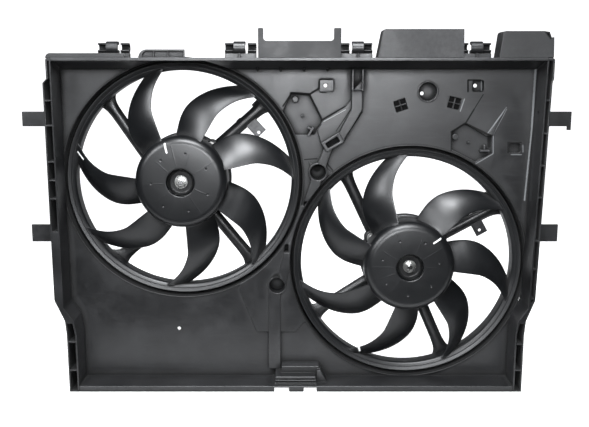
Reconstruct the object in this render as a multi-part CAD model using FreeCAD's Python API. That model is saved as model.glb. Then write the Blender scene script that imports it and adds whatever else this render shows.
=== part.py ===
import FreeCAD, Part
import math
import os

# Twin-fan radiator shroud assembly, in millimetres.
# X runs to the right seen from the radiator side, Y runs away from the radiator, Z runs up.
# The origin is the middle of the underside of the lower locating foot.
# A depth is a distance behind the rim plane, which faces the radiator.

# Lower foot and rim
foot_width = 24.0
foot_depth = 24.0
rim_y = -foot_depth / 2
lip_t = 3.0
lip_drop = 9.0

# Fans. The two ducts just clear each other, so their size follows from the distance between the fans.
fan_half_pitch = 183.25
left_fan_z = 341.2
right_fan_z = 203.4
collar_gap = 0.7
collar_t = 1.9
collar_front = 47.5
collar_back = 89.0
flange_t = 3.0
tip_gap = 5.5
fan_distance = math.hypot(2 * fan_half_pitch, left_fan_z - right_fan_z)
collar_r = round((fan_distance - collar_gap) / 2, 1)
opening_r = collar_r - collar_t
seat_r = opening_r + collar_t / 2

# Panel and walls. The side walls and the top wall cut a little into the outer sides of the ducts.
panel_depth = 50.0
panel_t = 3.0
wall_t = 2.6
floor_z = 10.0
top_z = left_fan_z + collar_r - 5.6
top_fall = 13.5
tray_back = panel_depth + panel_t
corner_r = 14.0
left_upper_x = 6.15 - fan_half_pitch - collar_r
right_upper_x = fan_half_pitch + collar_r - 7.15
right_top_x = right_upper_x + 9.0
lower_inset = 19.0
left_lower_x = left_upper_x + lower_inset
right_lower_x = right_upper_x - lower_inset
jog_top_z = 142.0
jog_mid_z = 120.0
jog_low_z = 97.0
jog_step = 4.0

# Side rails
rail_depth = 38.0
rail_width = 14.0
right_rail_width = 10.0
rail_foot_width = 16.0
rail_top_width = 8.0
right_rail_top_width = 11.0
shoulder_drop = 6.0
jog_lag = 12.0
rail_top_z = top_z - 28.0
rung_t = 2.4
left_rungs = [470.0, 432.0, 376.0, 347.0, 318.0, 85.0, 37.0]
right_rungs = [470.0, 420.0, 370.0, 320.0, 251.0, 205.0, 157.0, 81.0, 37.0]
left_solid = (150.0, 266.0)

# Side tabs that hook into the car's radiator frame; a length is how far a tab stands out from the wall
tab_depth = 26.0
tab_t = 4.0
tab_tall = 23.0
tab_short = 28.0
tab_upper_z = 441.0
tab_lower_z = 259.0
left_tab_upper_length = 57.0
left_tab_lower_length = 52.0
right_tab_upper_length = 58.0
right_tab_lower_length = 47.0
tab_root = 6.0
tab_hook = 6.0
tab_rib_t = 2.4

# Fan wheel
ring_r = opening_r - tip_gap
ring_band_r = ring_r - 8.0
flange_r = ring_band_r
ring_band_t = 3.0
ring_front = 54.0
ring_lip_t = 2.6
ring_return = 11.0
ring_length = 29.0
hub_r = 73.5
hub_wall = 2.6
hub_front = 18.0
hub_length = 46.0
hub_round = 13.0
recess_r = 22.5
recess_depth = 11.0
hub_boss_r = 12.0
hub_boss_length = 20.0
hub_rib_t = 1.8
dimple_count = 7
dimple_pitch_r = 46.5
dimple_r = 1.9
dimple_deep = 0.7
dimple_phase = -45.5
blade_overlap = 1.4
blade_camber = 3.2
blade_half_t = 1.35
blade_edge_half_t = 0.7
blade_steps = [45.4, 53.8, 47.8, 52.9, 47.6, 50.8]
left_blade_start = 176.2
right_blade_start = 106.2
# Each station is radius, leading angle, trailing angle, leading depth, trailing depth, for a tip at blade_tip_r.
blade_tip_r = 180.0
blade_stations = [
    (69.0, -1.0, 35.5, 27.0, 59.0),
    (88.0, -1.5, 31.0, 30.5, 60.0),
    (104.0, -1.8, 27.3, 33.5, 60.5),
    (120.0, -2.4, 22.5, 37.5, 61.5),
    (136.0, -4.8, 15.8, 42.5, 63.0),
    (152.0, -8.1, 8.1, 48.0, 65.5),
    (168.0, -12.5, -0.3, 53.5, 69.0),
    (184.0, -17.5, -8.7, 59.0, 73.0),
]

# Motor
shaft_r = 4.0
running_gap = 0.03
push_gap = 0.02
air_gap = 0.8
brush_gap = 0.3
can_r = 50.0
can_t = 2.0
can_front = 40.0
can_back = 102.0
cover_t = 3.0
cover_skirt = 8.0
ear_depth = 86.0
ear_t = 3.0
ear_pitch_r = 66.0
ear_r = 9.0
screw_r = 2.4
screw_clearance = 0.25
screw_head_r = 4.6
screw_head_t = 3.6
bearing_r = 11.0
bearing_length = 8.0
bearing_wall = 2.0
magnet_t = 5.0
magnet_length = 40.0
armature_length = 26.0
winding_t = 4.0
commutator_r = 13.0
commutator_length = 11.0
brush_width = 9.0
brush_length = 12.0
brush_tall = 7.0
brush_box_t = 1.5
card_t = 2.0
nut_r = 8.2
nut_across = 6.5
nut_t = 6.0
washer_t = 1.5
washer_r = 10.5

# Motor spider
spider_ring_r = 75.0
spider_ear_r = 12.5
arm_width = 15.0
arm_depth = 12.0
arm_root = 8.0
arm_foot_width = 62.0
arm_foot_reach = 15.0
arm_foot_t = 3.0
arm_end_r = opening_r - 6.5
plate_length = 30.0
plate_width = 20.0
plate_hole_r = 2.6
# Each arm is its angle at the collar and its angle at the motor ring.
left_arms = [(134.7, 155.7), (42.4, 45.0), (229.7, 250.4), (307.6, 305.3)]
right_arms = [(124.8, 142.6), (29.6, 31.0), (212.5, 211.8), (292.7, 291.0)]
left_plate = (31.5, 142.0)
right_plate = (20.5, 135.0)

# Motor leads and plugs
wire_r = 3.2
wire_pitch = 6.8
lead_side = {"left": 0.0, "right": 12.5}
clip_radii = (92.0, 128.0)
plug_length = 26.0
plug_width = 22.0
plug_tall = 17.0
plug_wall = 2.2
plug_floor = 8.0
gland_length = 5.0
outlet_tall = 13.0

# Top brackets and pipe clips
bracket_t = 3.0
bracket_depth = 36.0
plate_bracket = (-58.0, 67.5, 559.5, 578.5, 9.0)
middle_hood = (119.5, 131.0, 252.5, 254.0, 577.0)
right_hood = (right_top_x - 76.0, right_top_x - 69.0, right_top_x + 7.5, right_top_x + 9.5, 574.0)
clip_x = [-285.0, -87.0, 94.0, 279.0]
clip_axis_z = 550.5
clip_bore_r = 5.5
clip_axis_depth = bracket_depth + clip_bore_r + 1.5
clip_prong_r = 7.6
clip_hook_r = 10.0
clip_width = 49.0
clip_prong_width = 13.5
clip_hook_width = 18.5
clip_mouth = 100.0
clip_foot_half = 6.0
clip_gusset_t = 2.4
clip_duct_gap = 0.2

# Top ledge, the ribbed hook beside it, and the small ticks under the top wall
ledge = (left_upper_x - 8.5, -261.0, top_z + 10.5)
ribbed_hook = (-240.0, -169.5, top_z + 16.0)
hook_ribs = [-216.5, -194.5]
hook_rib_t = 1.8
tick_x = [-61.0, -24.5, 12.5, 49.5]
tick_t = 1.6
arch_half = 90.0

# Notched lip and the ribbed block above the foot
notch = (-36.0, 33.0)
block_rise = 13.0
block_low = [(-36.0, floor_z), (33.0, floor_z), (31.0, floor_z + block_rise), (-34.0, floor_z + block_rise)]
block_high = [(-27.0, floor_z), (46.0, floor_z), (37.0, floor_z + 24.0), (-24.0, floor_z + 24.0)]
block_wedge = [(33.0, floor_z), (50.0, floor_z), (40.0, floor_z + 20.0), (34.0, floor_z + 20.0)]
groove_z = [floor_z + 2.6, floor_z + 7.4]
groove_t = 2.4

# Panel details. A rise is how far a thing stands forward of the panel.
step_rise = 3.0
strip_rise = 6.0
pad_rise = 8.0
rib_rise = 2.0
guide_rise = 14.0
guide_t = 2.4
guide_x = [88.4, 104.2]
guide_low_z = 484.0
pocket_deep = 6.0
cross_deep = 8.0
cross_rib_t = 1.6
pocket_wall = 2.4
cup_deep = 24.0
shallow_cup_deep = 14.0
through_hole_r = 2.9
sliver_volume = 200.0
# Raised areas: rise and outline as (x, z) points.
raised_areas = [
    (step_rise, [(-95.0, 161.0), (-65.8, 87.0), (-2.0, 86.5), (13.0, 104.0), (60.0, 104.0), (60.0, 300.0),
                 (-60.0, 300.0)]),
    (strip_rise, [(-45.5, 166.0), (-26.5, 166.0), (-26.5, floor_z + block_rise), (-46.5, floor_z + block_rise)]),
    (strip_rise, [(-35.0, 160.0), (-19.0, 160.0), (-6.0, 222.0), (-20.0, 222.0)]),
    (strip_rise, [(10.8, 303.0), (29.5, 303.0), (43.0, 352.0), (27.0, 352.0)]),
    (strip_rise, [(31.0, 360.0), (46.0, 360.0), (57.0, 392.0), (44.0, 392.0)]),
    (strip_rise, [(64.5, 411.0), (74.8, 403.5), (104.2, 455.0), (104.2, 486.0), (87.2, 486.0), (87.2, 454.0)]),
    (step_rise, [(28.0, 441.0), (43.0, 437.0), (78.0, 459.0), (87.2, 470.0), (87.2, 454.0), (62.0, 408.0),
                 (40.0, 400.0)]),
    (10.0, [(90.0, 486.0), (103.0, 486.0), (103.0, 500.0)]),
    (rib_rise, [(306.7, 415.8), (314.8, 414.2), (333.5, 458.6)]),
    (rib_rise, [(26.0, 352.0), (20.0, 372.0), (34.0, 362.0)]),
    (rib_rise, [(40.0, 345.0), (60.0, 352.0), (46.0, 362.0)]),
]
# Raised pads: rise, corner radius, and the rectangle as (x, z, half width, half height, turn).
raised_pads = [
    (step_rise, 3.0, (47.3, 493.0, 11.5, 9.8, 0.0)),
    (pad_rise, 0.0, (57.9, 402.8, 16.0, 8.4, 31.0)),
]
# Pockets with straight sides: depth and outline.
pockets = [
    (pocket_deep, [(-8.6, 480.6), (20.5, 479.1), (41.8, 436.5), (28.9, 414.2), (-2.2, 414.2), (-22.0, 452.0)]),
    (pocket_deep, [(270.3, 433.3), (248.2, 419.0), (249.2, 391.0), (288.0, 371.0), (316.1, 384.7), (314.8, 412.9),
                   (304.2, 412.9)]),
    (2 * pocket_deep, [(-20.6, 222.5), (-13.0, 222.5), (-13.0, 236.0), (-19.0, 236.0)]),
    (2 * pocket_deep, [(12.4, 297.0), (19.0, 297.0), (17.0, 307.5), (12.4, 307.5)]),
]
# Rectangular pockets: depth, corner radius and rectangle.
square_pockets = [
    (pocket_deep, 3.0, (288.0, 491.5, 9.2, 8.6, 0.0)),
    (pocket_deep, 2.5, (350.5, 393.0, 9.4, 7.6, 0.0)),
    (pocket_deep, 1.0, (57.9, 402.8, 11.0, 4.6, 31.0)),
    (cross_deep, 1.0, (166.0, 461.3, 9.6, 9.2, 18.0)),
    (cross_deep, 1.0, (251.3, 464.9, 9.6, 9.2, -13.0)),
]
# Round cups: x, z, radius, rise of the rim and depth.
cups = [
    (-32.0, 166.4, 12.8, strip_rise, cup_deep),
    (34.9, 354.6, 12.8, strip_rise, cup_deep),
    (208.7, 482.8, 14.5, 0.6, shallow_cup_deep),
]
# Round studs in the pockets: x, z, radius and rise.
studs = [(-1.7, 470.6, 4.6, 1.0), (254.6, 411.0, 4.6, 1.0), (9.8, 444.4, 1.9, 2.0), (276.4, 401.7, 1.9, 2.0)]
# Snap latches in the pockets: x, z and turn.
latches = [(23.0, 419.5, 60.0), (302.0, 389.0, 0.0)]
panel_holes = [(45.9, 492.4), (284.5, 492.2), (201.1, 479.9), (-195.9, 91.6)]

parts = {}


def y_at(depth):
    return rim_y + depth


def cut(shape, tools):
    for tool in tools:
        shape = shape.cut(tool)
    return shape


def fuse(shapes):
    if len(shapes) == 1:
        return shapes[0]
    return shapes[0].multiFuse(shapes[1:]).removeSplitter()


def block(x0, x1, d0, d1, z0, z1):
    corner = FreeCAD.Vector(x0, y_at(d0), z0)
    return Part.makeBox(x1 - x0, d1 - d0, z1 - z0, corner)


def rod(x, z, radius, d0, d1):
    base = FreeCAD.Vector(x, y_at(d0), z)
    return Part.makeCylinder(radius, d1 - d0, base, FreeCAD.Vector(0, 1, 0))


def rod_x(x0, x1, depth, z, radius):
    base = FreeCAD.Vector(x0, y_at(depth), z)
    return Part.makeCylinder(radius, x1 - x0, base, FreeCAD.Vector(1, 0, 0))


def outline(points, place):
    """A closed wire through (u, v, corner radius) points; place turns (u, v) into a vector."""
    starts = []
    middles = []
    ends = []
    count = len(points)
    for i in range(count):
        u, v, radius = points[i]
        back = (points[i - 1][0] - u, points[i - 1][1] - v)
        ahead = (points[(i + 1) % count][0] - u, points[(i + 1) % count][1] - v)
        back_length = math.hypot(*back)
        ahead_length = math.hypot(*ahead)
        back = (back[0] / back_length, back[1] / back_length)
        ahead = (ahead[0] / ahead_length, ahead[1] / ahead_length)
        half = math.acos(max(-1.0, min(1.0, back[0] * ahead[0] + back[1] * ahead[1]))) / 2
        reach = radius / math.tan(half)
        starts.append((u + back[0] * reach, v + back[1] * reach))
        ends.append((u + ahead[0] * reach, v + ahead[1] * reach))
        inward = (back[0] + ahead[0], back[1] + ahead[1])
        size = math.hypot(*inward) or 1.0
        bulge = radius / math.sin(half) - radius
        middles.append((u + inward[0] / size * bulge, v + inward[1] / size * bulge))
    edges = []
    for i in range(count):
        if points[i][2] > 0:
            edges.append(Part.Arc(place(*starts[i]), place(*middles[i]), place(*ends[i])).toShape())
        a = place(*ends[i])
        b = place(*starts[(i + 1) % count])
        if a.distanceToPoint(b) > 1e-6:
            edges.append(Part.LineSegment(a, b).toShape())
    return Part.Wire(edges)


def rounded(points, radius=0.0):
    return [(p[0], p[1], p[2] if len(p) > 2 else radius) for p in points]


def plate(points, d0, d1, radius=0.0):
    """A flat piece with its outline in XZ, from depth d0 to depth d1."""
    wire = outline(rounded(points, radius), lambda x, z: FreeCAD.Vector(x, y_at(d0), z))
    return Part.Face(wire).extrude(FreeCAD.Vector(0, d1 - d0, 0))


def bar(points, x0, x1, radius=0.0):
    """A piece with its outline in depth and Z, from x0 to x1."""
    wire = outline(rounded(points, radius), lambda d, z: FreeCAD.Vector(x0, y_at(d), z))
    return Part.Face(wire).extrude(FreeCAD.Vector(x1 - x0, 0, 0))


def turned(profile, centre):
    """A solid of revolution about a fan's axis from (radius, depth) points."""
    x, z = centre
    wire = outline(rounded(profile), lambda r, d: FreeCAD.Vector(x + r, y_at(d), z))
    axis_point = FreeCAD.Vector(x, 0, z)
    return Part.Face(wire).revolve(axis_point, FreeCAD.Vector(0, 1, 0), 360)


def spun(shape, centre, degrees):
    """A copy turned about a fan's axis, counterclockwise seen from the radiator side."""
    copy = shape.copy()
    copy.rotate(FreeCAD.Vector(centre[0], 0, centre[1]), FreeCAD.Vector(0, -1, 0), degrees)
    return copy


def polar(centre, radius, degrees):
    angle = math.radians(degrees)
    return (centre[0] + radius * math.cos(angle), centre[1] + radius * math.sin(angle))


left_centre = (-fan_half_pitch, left_fan_z)
right_centre = (fan_half_pitch, right_fan_z)
centres = {"left": left_centre, "right": right_centre}


def inner_line(side, low_z):
    """The inside of a side wall from top to bottom, as (x, z, corner radius)."""
    if side == "left":
        top_x, upper_x, lower_x, sign = left_upper_x, left_upper_x, left_lower_x, -1
    else:
        top_x, upper_x, lower_x, sign = right_top_x, right_upper_x, right_lower_x, 1
    return [
        (top_x, top_z + wall_t, 0.0),
        (upper_x, jog_top_z, corner_r),
        (lower_x + sign * jog_step, jog_mid_z, corner_r),
        (lower_x, jog_low_z, 0.0),
        (lower_x, low_z, 0.0),
    ]


def moved_line(line, dx):
    return [(x + dx, z, radius) for x, z, radius in line]


def passages():
    """The two fan passages, cut from everything that the collars pass through."""
    return [rod(c[0], c[1], seat_r, collar_front - 1.0, collar_back) for c in centres.values()]


def top_inside(depth):
    return top_z - top_fall * depth / panel_depth


def side_wall(side):
    """The thin wall between the tray and a side channel."""
    sign = -1 if side == "left" else 1
    inner = inner_line(side, 0.0)
    return plate(inner + moved_line(inner, sign * wall_t)[::-1], 0.0, tray_back)


def channel_line(side):
    """The outer edge of a side channel from top to bottom, as (x, z, corner radius)."""
    inner = inner_line(side, 0.0)
    if side == "left":
        sign, top_reach, foot_reach = -1, rail_top_width, rail_foot_width
        shoulder_x = left_upper_x - rail_width
        low_x = shoulder_x
    else:
        sign, top_reach, foot_reach = 1, right_rail_top_width, rail_width
        shoulder_x = right_top_x + right_rail_width - 1.0
        low_x = right_upper_x + right_rail_width
    top_x = inner[0][0] + sign * top_reach
    foot_x = inner[3][0] + sign * foot_reach
    return [
        (top_x, top_z + wall_t, 3.0),
        (top_x, rail_top_z, 0.0),
        (shoulder_x, rail_top_z - shoulder_drop, 0.0),
        (low_x, jog_top_z + jog_lag, corner_r),
        (foot_x + sign * jog_step / 2, jog_mid_z, corner_r),
        (foot_x, jog_low_z, 0.0),
        (foot_x, 0.0, 0.0),
    ]


def side_rail(side):
    """A side wall with its outward channel, rungs and two tabs."""
    sign = -1 if side == "left" else 1
    inner = moved_line(inner_line(side, 0.0), sign * wall_t)
    outer = channel_line(side)
    channel = plate(outer + inner[::-1], 0.0, rail_depth)
    hollow_outer = moved_line(outer, -sign * wall_t)
    hollow_inner = list(inner)
    for line in (hollow_outer, hollow_inner):
        line[0] = (line[0][0], top_z - 1.0, 0.0)
        line[-1] = (line[-1][0], lip_t, 0.0)
    hollow = plate(hollow_outer + hollow_inner[::-1], -1.0, rail_depth - wall_t)
    far = abs(outer[2][0]) + rail_width
    near = abs(inner[3][0]) - rail_width
    low_x, high_x = sorted((sign * far, sign * near))
    solid_bands = [(z - rung_t / 2, z + rung_t / 2) for z in (left_rungs if side == "left" else right_rungs)]
    solid_bands.append((jog_mid_z - jog_step, jog_top_z + 2 * jog_step))
    if side == "left":
        solid_bands.append(left_solid)
    hollow = cut(hollow, [block(low_x, high_x, -2.0, rail_depth, low, high) for low, high in solid_bands])
    rail = fuse([side_wall(side), channel.cut(hollow)] + side_tabs(side, sign))
    return cut(rail, passages())


def side_tabs(side, sign):
    """The two flat tabs of one side; the upper right one has a small hook."""
    wall = abs(left_upper_x)
    upper = wall + (left_tab_upper_length if side == "left" else right_tab_upper_length)
    lower = wall + (left_tab_lower_length if side == "left" else right_tab_lower_length)
    root = wall + tab_root
    out = []
    for reach, z, tall in ((upper, tab_upper_z, tab_tall), (lower, tab_lower_z, tab_short)):
        low_x, high_x = sorted((sign * root, sign * reach))
        out.append(block(low_x, high_x, tab_depth, tab_depth + tab_t, z - tall / 2, z + tall / 2))
    if side == "right":
        low_z = tab_upper_z - tab_tall / 2 - tab_hook
        out.append(block(upper - tab_hook, upper, tab_depth, tab_depth + tab_t, low_z, tab_upper_z))
    # Each tab has a stiffening rib along its middle.
    for reach, z in ((upper, tab_upper_z), (lower, tab_lower_z)):
        low_x, high_x = sorted((sign * root, sign * (reach - tab_hook)))
        rib_low = z - tab_rib_t / 2
        out.append(block(low_x, high_x, tab_depth + tab_t, tab_depth + 2 * tab_t, rib_low, rib_low + tab_rib_t))
    return out


def above_top(x0, x1):
    """The space above the middle of the top wall."""
    return bar(
        [
            (0.0, top_inside(0.0) + wall_t / 2),
            (tray_back, top_inside(tray_back) + wall_t / 2),
            (tray_back, top_z + 3 * wall_t),
            (0.0, top_z + 3 * wall_t),
        ],
        x0,
        x1,
    )


def arch():
    """The part of the left duct that bulges through the top wall, closed at the front by a thin face."""
    x, z = left_centre
    tube = rod(x, z, collar_r, 2 * lip_t - 1.0, collar_front).cut(rod(x, z, opening_r, 0.0, tray_back + 1.0))
    sheet = block(x - arch_half, x + arch_half, lip_t, 2 * lip_t - 1.0, top_z - 8.0, top_z + wall_t)
    front = sheet.common(rod(x, z, collar_r, 0.0, tray_back))
    above = above_top(x - opening_r, x + opening_r)
    return [tube.common(above), front.common(above)]


def top_hook():
    """The ribbed hook that stands on the top lip beside the ledge."""
    x0, x1, high = ribbed_hook
    back = lip_t + bracket_t
    body = plate([(x0, top_z), (x1, top_z), (x1, high), (x0, high, 13.0)], lip_t, back)
    hollow = plate(
        [(x0 + 6.0, top_z + 4.5), (x1 - 2.5, top_z + 4.5), (x1 - 2.5, high - 3.0), (x0 + 6.0, high - 3.0, 7.0)],
        lip_t - 1.0,
        back - 1.2,
    )
    ribs = [block(x - hook_rib_t / 2, x + hook_rib_t / 2, lip_t, back, top_z, high) for x in hook_ribs]
    return fuse([body.cut(hollow)] + ribs)


def top_rail():
    """The drafted top wall, its front lip, the arch over the left fan and the small upstands."""
    left_x = left_upper_x
    right_x = right_top_x
    wall = bar(
        [
            (0.0, top_inside(0.0)),
            (tray_back, top_inside(tray_back)),
            (tray_back, top_inside(tray_back) + wall_t),
            (lip_t, top_z + wall_t),
            (0.0, top_z + wall_t),
        ],
        left_x,
        right_x,
    )
    x, z = left_centre
    wall = wall.cut(rod(x, z, opening_r, 2 * lip_t - 1.0, tray_back + 1.0))
    lip = block(left_x, right_x, 0.0, lip_t, top_z - 1.0, top_z + wall_t + 1.0)
    x0, x1, high = ledge
    shelf = plate([(x0, top_z - 2.0), (x1, top_z - 2.0), (x1, high), (x0, high, 7.0)], lip_t, lip_t + bracket_t)
    tick = [(depth, top_inside(depth)) for depth in (panel_depth - 16.0, tray_back)]
    tick.append((panel_depth, top_inside(panel_depth) - 4.0))
    ticks = [bar(tick, x - tick_t / 2, x + tick_t / 2) for x in tick_x]
    rail = fuse([cut(wall, passages()), lip, shelf, top_hook()] + arch() + ticks)
    beside = block(left_x - 2 * rail_width, left_x, 0.0, rail_depth, 0.0, top_z + wall_t)
    behind = block(left_x, right_x, panel_depth, tray_back + 1.0, 0.0, top_inside(panel_depth))
    return cut(rail, [beside, behind, side_wall("left"), side_wall("right")])


def bottom_rail():
    """The floor of the tray, its front lip with the two notches, the foot and the ribbed block."""
    floor = block(left_lower_x, right_lower_x, 0.0, tray_back, floor_z - wall_t, floor_z)
    spans = ((left_lower_x, notch[0]), (notch[1], right_lower_x))
    lips = [block(x0, x1, 0.0, lip_t, 0.0, lip_drop) for x0, x1 in spans]
    foot = block(-foot_width / 2, foot_width / 2, 0.0, foot_depth, 0.0, floor_z - wall_t)
    grooves = [block(notch[0] - 4.0, notch[1] + 7.0, 6.0, 11.0, z, z + groove_t) for z in groove_z]
    low = cut(plate(block_low, 8.0, panel_depth), grooves)
    high = plate(block_high, 26.0, panel_depth)
    wedge = plate(block_wedge, 18.0, panel_depth)
    return cut(fuse([floor, foot, low, high, wedge] + lips), passages())


def dish(points, deep, radius=1.0):
    """The wall that a pocket pushes out behind the panel, and the pocket itself."""
    wire = outline(rounded(points, radius), lambda x, z: FreeCAD.Vector(x, y_at(panel_depth), z))
    face = Part.Face(wire)
    grown = face.makeOffset2D(pocket_wall)
    outer = grown.extrude(FreeCAD.Vector(0, deep + pocket_wall, 0))
    face.translate(FreeCAD.Vector(0, -2 * strip_rise, 0))
    inner = face.extrude(FreeCAD.Vector(0, deep + 2 * strip_rise, 0))
    return outer, inner


def square_at(x, z, half_x, half_z, turn):
    """The corners of a rectangle about a point, turned by some degrees."""
    c = math.cos(math.radians(turn))
    s = math.sin(math.radians(turn))
    corners = ((-half_x, -half_z), (half_x, -half_z), (half_x, half_z), (-half_x, half_z))
    return [(x + a * c - b * s, z + a * s + b * c) for a, b in corners]


def panel_sheet():
    """The plain sheet between the side walls, up to the top wall."""
    left = inner_line("left", floor_z)
    right = inner_line("right", floor_z)
    high = top_inside(panel_depth)
    slant = (right[0][0] - right[1][0]) * (right[0][1] - high) / (right[0][1] - right[1][1])
    left[0] = (left[0][0], high, 0.0)
    right[0] = (right[0][0] - slant, high, 0.0)
    return plate(left + right[::-1], panel_depth, tray_back)


def panel_raised():
    """Everything that stands forward of the sheet."""
    out = [plate(points, panel_depth - rise, panel_depth) for rise, points in raised_areas]
    out += [plate(square_at(*place), panel_depth - rise, panel_depth, radius) for rise, radius, place in raised_pads]
    for x in guide_x:
        out.append(block(x - guide_t / 2, x + guide_t / 2, panel_depth - guide_rise, panel_depth, guide_low_z,
                         top_inside(panel_depth)))
    return out


def panel_hollows():
    """Pockets and cups, each as its outer wall and the space inside it."""
    out = [dish(points, deep) for deep, points in pockets]
    out += [dish(square_at(*place), deep, radius) for deep, radius, place in square_pockets]
    for x, z, radius, rise, deep in cups:
        outer = rod(x, z, radius + pocket_wall, panel_depth - rise, panel_depth + deep)
        inner = rod(x, z, radius, panel_depth - 2 * strip_rise, panel_depth + deep - pocket_wall)
        out.append((outer, inner))
    return out


def panel_studs():
    """Studs, snap latches and crossed ribs that stand inside the pockets."""
    back = panel_depth + pocket_deep + 1.0
    out = [rod(x, z, radius, panel_depth - rise, back) for x, z, radius, rise in studs]
    for x, z, turn in latches:
        out.append(plate(square_at(x, z, 7.5, 1.5, turn), panel_depth - 3.0, back))
        out.append(plate(square_at(x, z + 4.0, 1.5, 5.0, turn), panel_depth - 1.0, back))
    for deep, radius, (x, z, half_x, half_z, turn) in square_pockets:
        if deep == cross_deep:
            for rib_x, rib_z in ((half_x + 0.8, cross_rib_t / 2), (cross_rib_t / 2, half_z + 0.8)):
                out.append(plate(square_at(x, z, rib_x, rib_z, turn), panel_depth + 0.5, panel_depth + deep + 1.0))
    return out


def panel():
    """The flat back of the tray with its passages, raised strips, pockets, cups and holes."""
    hollows = panel_hollows()
    body = fuse([panel_sheet()] + panel_raised() + [outer for outer, inner in hollows])
    body = cut(body, [inner for outer, inner in hollows])
    drills = [rod(x, z, through_hole_r, 0.0, panel_depth + 2 * cup_deep) for x, z in panel_holes]
    drills += [rod(c[0], c[1], seat_r, 0.0, 2 * collar_back) for c in centres.values()]
    body = cut(fuse([body] + panel_studs()), drills)
    return Part.makeCompound([solid for solid in body.Solids if solid.Volume > sliver_volume])


def collar(side):
    """The round duct that a fan turns in, with a rolled front lip and an inward back flange."""
    profile = [
        (opening_r, collar_front, 0.0),
        (collar_r, collar_front, 0.6),
        (collar_r, collar_back, 1.5),
        (flange_r, collar_back, 0.0),
        (flange_r, collar_back - flange_t, 1.0),
        (opening_r, collar_back - flange_t, 5.0),
    ]
    return turned(profile, centres[side])


def arm(centre, foot_deg, ring_deg):
    """One arm from the motor ring to the duct, and the web that spreads at its foot."""
    foot = polar(centre, arm_end_r, foot_deg)
    root = polar(centre, spider_ring_r - arm_root, ring_deg)
    length = math.hypot(foot[0] - root[0], foot[1] - root[1])
    along = ((foot[0] - root[0]) / length, (foot[1] - root[1]) / length)

    def at(start, forward, sideways, radius=0.0):
        x = start[0] + along[0] * forward - along[1] * sideways
        z = start[1] + along[1] * forward + along[0] * sideways
        return (x, z, radius)

    half = arm_width / 2
    beam = plate([at(root, 0, -half), at(foot, 0, -half), at(foot, 0, half), at(root, 0, half)], collar_back,
                 collar_back + arm_depth)
    spread = arm_foot_width / 2
    near = -0.9 * arm_foot_reach
    far = -2.2 * arm_foot_reach
    web = plate(
        [
            at(foot, 0, -spread),
            at(foot, 0, spread),
            at(foot, near, 0.72 * spread, 8.0),
            at(foot, far, 0.9 * half, 3.0),
            at(foot, far, -0.9 * half, 3.0),
            at(foot, near, -0.72 * spread, 8.0),
        ],
        collar_back,
        collar_back + arm_foot_t,
    )
    return [beam, web]


def spider(side):
    """The motor carrier: a ring with three ears and four arms that reach the collar's back flange."""
    centre = centres[side]
    x, z = centre
    arms = left_arms if side == "left" else right_arms
    back = collar_back + arm_depth
    ears = [polar(centre, ear_pitch_r, ear_angle(side, k)) for k in range(3)]
    pieces = [rod(x, z, spider_ring_r, ear_depth, back)]
    pieces += [rod(ear_x, ear_z, spider_ear_r, ear_depth, back) for ear_x, ear_z in ears]
    for foot_deg, ring_deg in arms:
        pieces += arm(centre, foot_deg, ring_deg)
    plate_deg, plate_r = left_plate if side == "left" else right_plate
    foot_deg = arms[1][0]
    middle = polar(centre, plate_r, (plate_deg + foot_deg) / 2 - 0.6)
    corners = square_at(middle[0], middle[1], plate_length / 2 + 2.0, plate_width / 2, foot_deg - 90.0)
    pieces.append(plate(corners, collar_back + 3.0, collar_back + 6.0, 2.5))
    body = fuse(pieces).common(rod(x, z, collar_r, 0.0, 2 * collar_back))
    hole_x, hole_z = polar(centre, plate_r, plate_deg)
    holes = [(x, z, can_r + push_gap), (hole_x, hole_z, plate_hole_r)]
    holes += [(ear_x, ear_z, screw_r + screw_clearance) for ear_x, ear_z in ears]
    drills = [rod(hole[0], hole[1], hole[2], 0.0, 2 * collar_back) for hole in holes]
    drills += [rod(ear_x, ear_z, ear_r + push_gap, 0.0, ear_depth) for ear_x, ear_z in ears]
    return cut(body, drills)


def ear_angle(side, k):
    return (50.0 if side == "left" else 28.0) + 120.0 * k


def blade():
    """One blade about angle zero of an axis at X = Z = 0, lofted through flat sections."""
    wires = []
    fit = ring_band_r / blade_tip_r
    for station_r, lead_deg, trail_deg, lead_depth, trail_depth in blade_stations:
        radius = fit * station_r
        lead = polar((0.0, 0.0), radius, lead_deg)
        trail = polar((0.0, 0.0), radius, trail_deg)
        front = []
        back = []
        for i in range(5):
            s = i / 4
            swell = 4 * s * (1 - s)
            half = blade_edge_half_t + (blade_half_t - blade_edge_half_t) * swell
            depth = lead_depth + (trail_depth - lead_depth) * s - blade_camber * swell
            x = lead[0] + (trail[0] - lead[0]) * s
            z = lead[1] + (trail[1] - lead[1]) * s
            front.append(FreeCAD.Vector(x, y_at(depth - half), z))
            back.append(FreeCAD.Vector(x, y_at(depth + half), z))
        front_curve = Part.BSplineCurve()
        front_curve.interpolate(front)
        back_curve = Part.BSplineCurve()
        back_curve.interpolate(back)
        wires.append(Part.Wire([
            front_curve.toShape(),
            Part.LineSegment(front[-1], back[-1]).toShape(),
            back_curve.toShape(),
            Part.LineSegment(back[0], front[0]).toShape(),
        ]))
    solid = Part.makeLoft(wires, True, False)
    inner = hub_r - blade_overlap
    outer = ring_band_r - ring_band_t + blade_overlap
    keep = rod(0.0, 0.0, outer, 0.0, 2 * collar_back).cut(rod(0.0, 0.0, inner, -1.0, 3 * collar_back))
    return solid.common(keep)


def blade_angles(side):
    angle = left_blade_start if side == "left" else right_blade_start
    angles = [angle]
    for step in blade_steps:
        angle += step
        angles.append(angle)
    return angles


def fan_blades(side, single):
    centre = centres[side]
    out = []
    for angle in blade_angles(side):
        copy = single.copy()
        copy.translate(FreeCAD.Vector(centre[0], 0, centre[1]))
        out.append(spun(copy, centre, angle).Solids[0])
    return Part.makeCompound(out)


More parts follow.
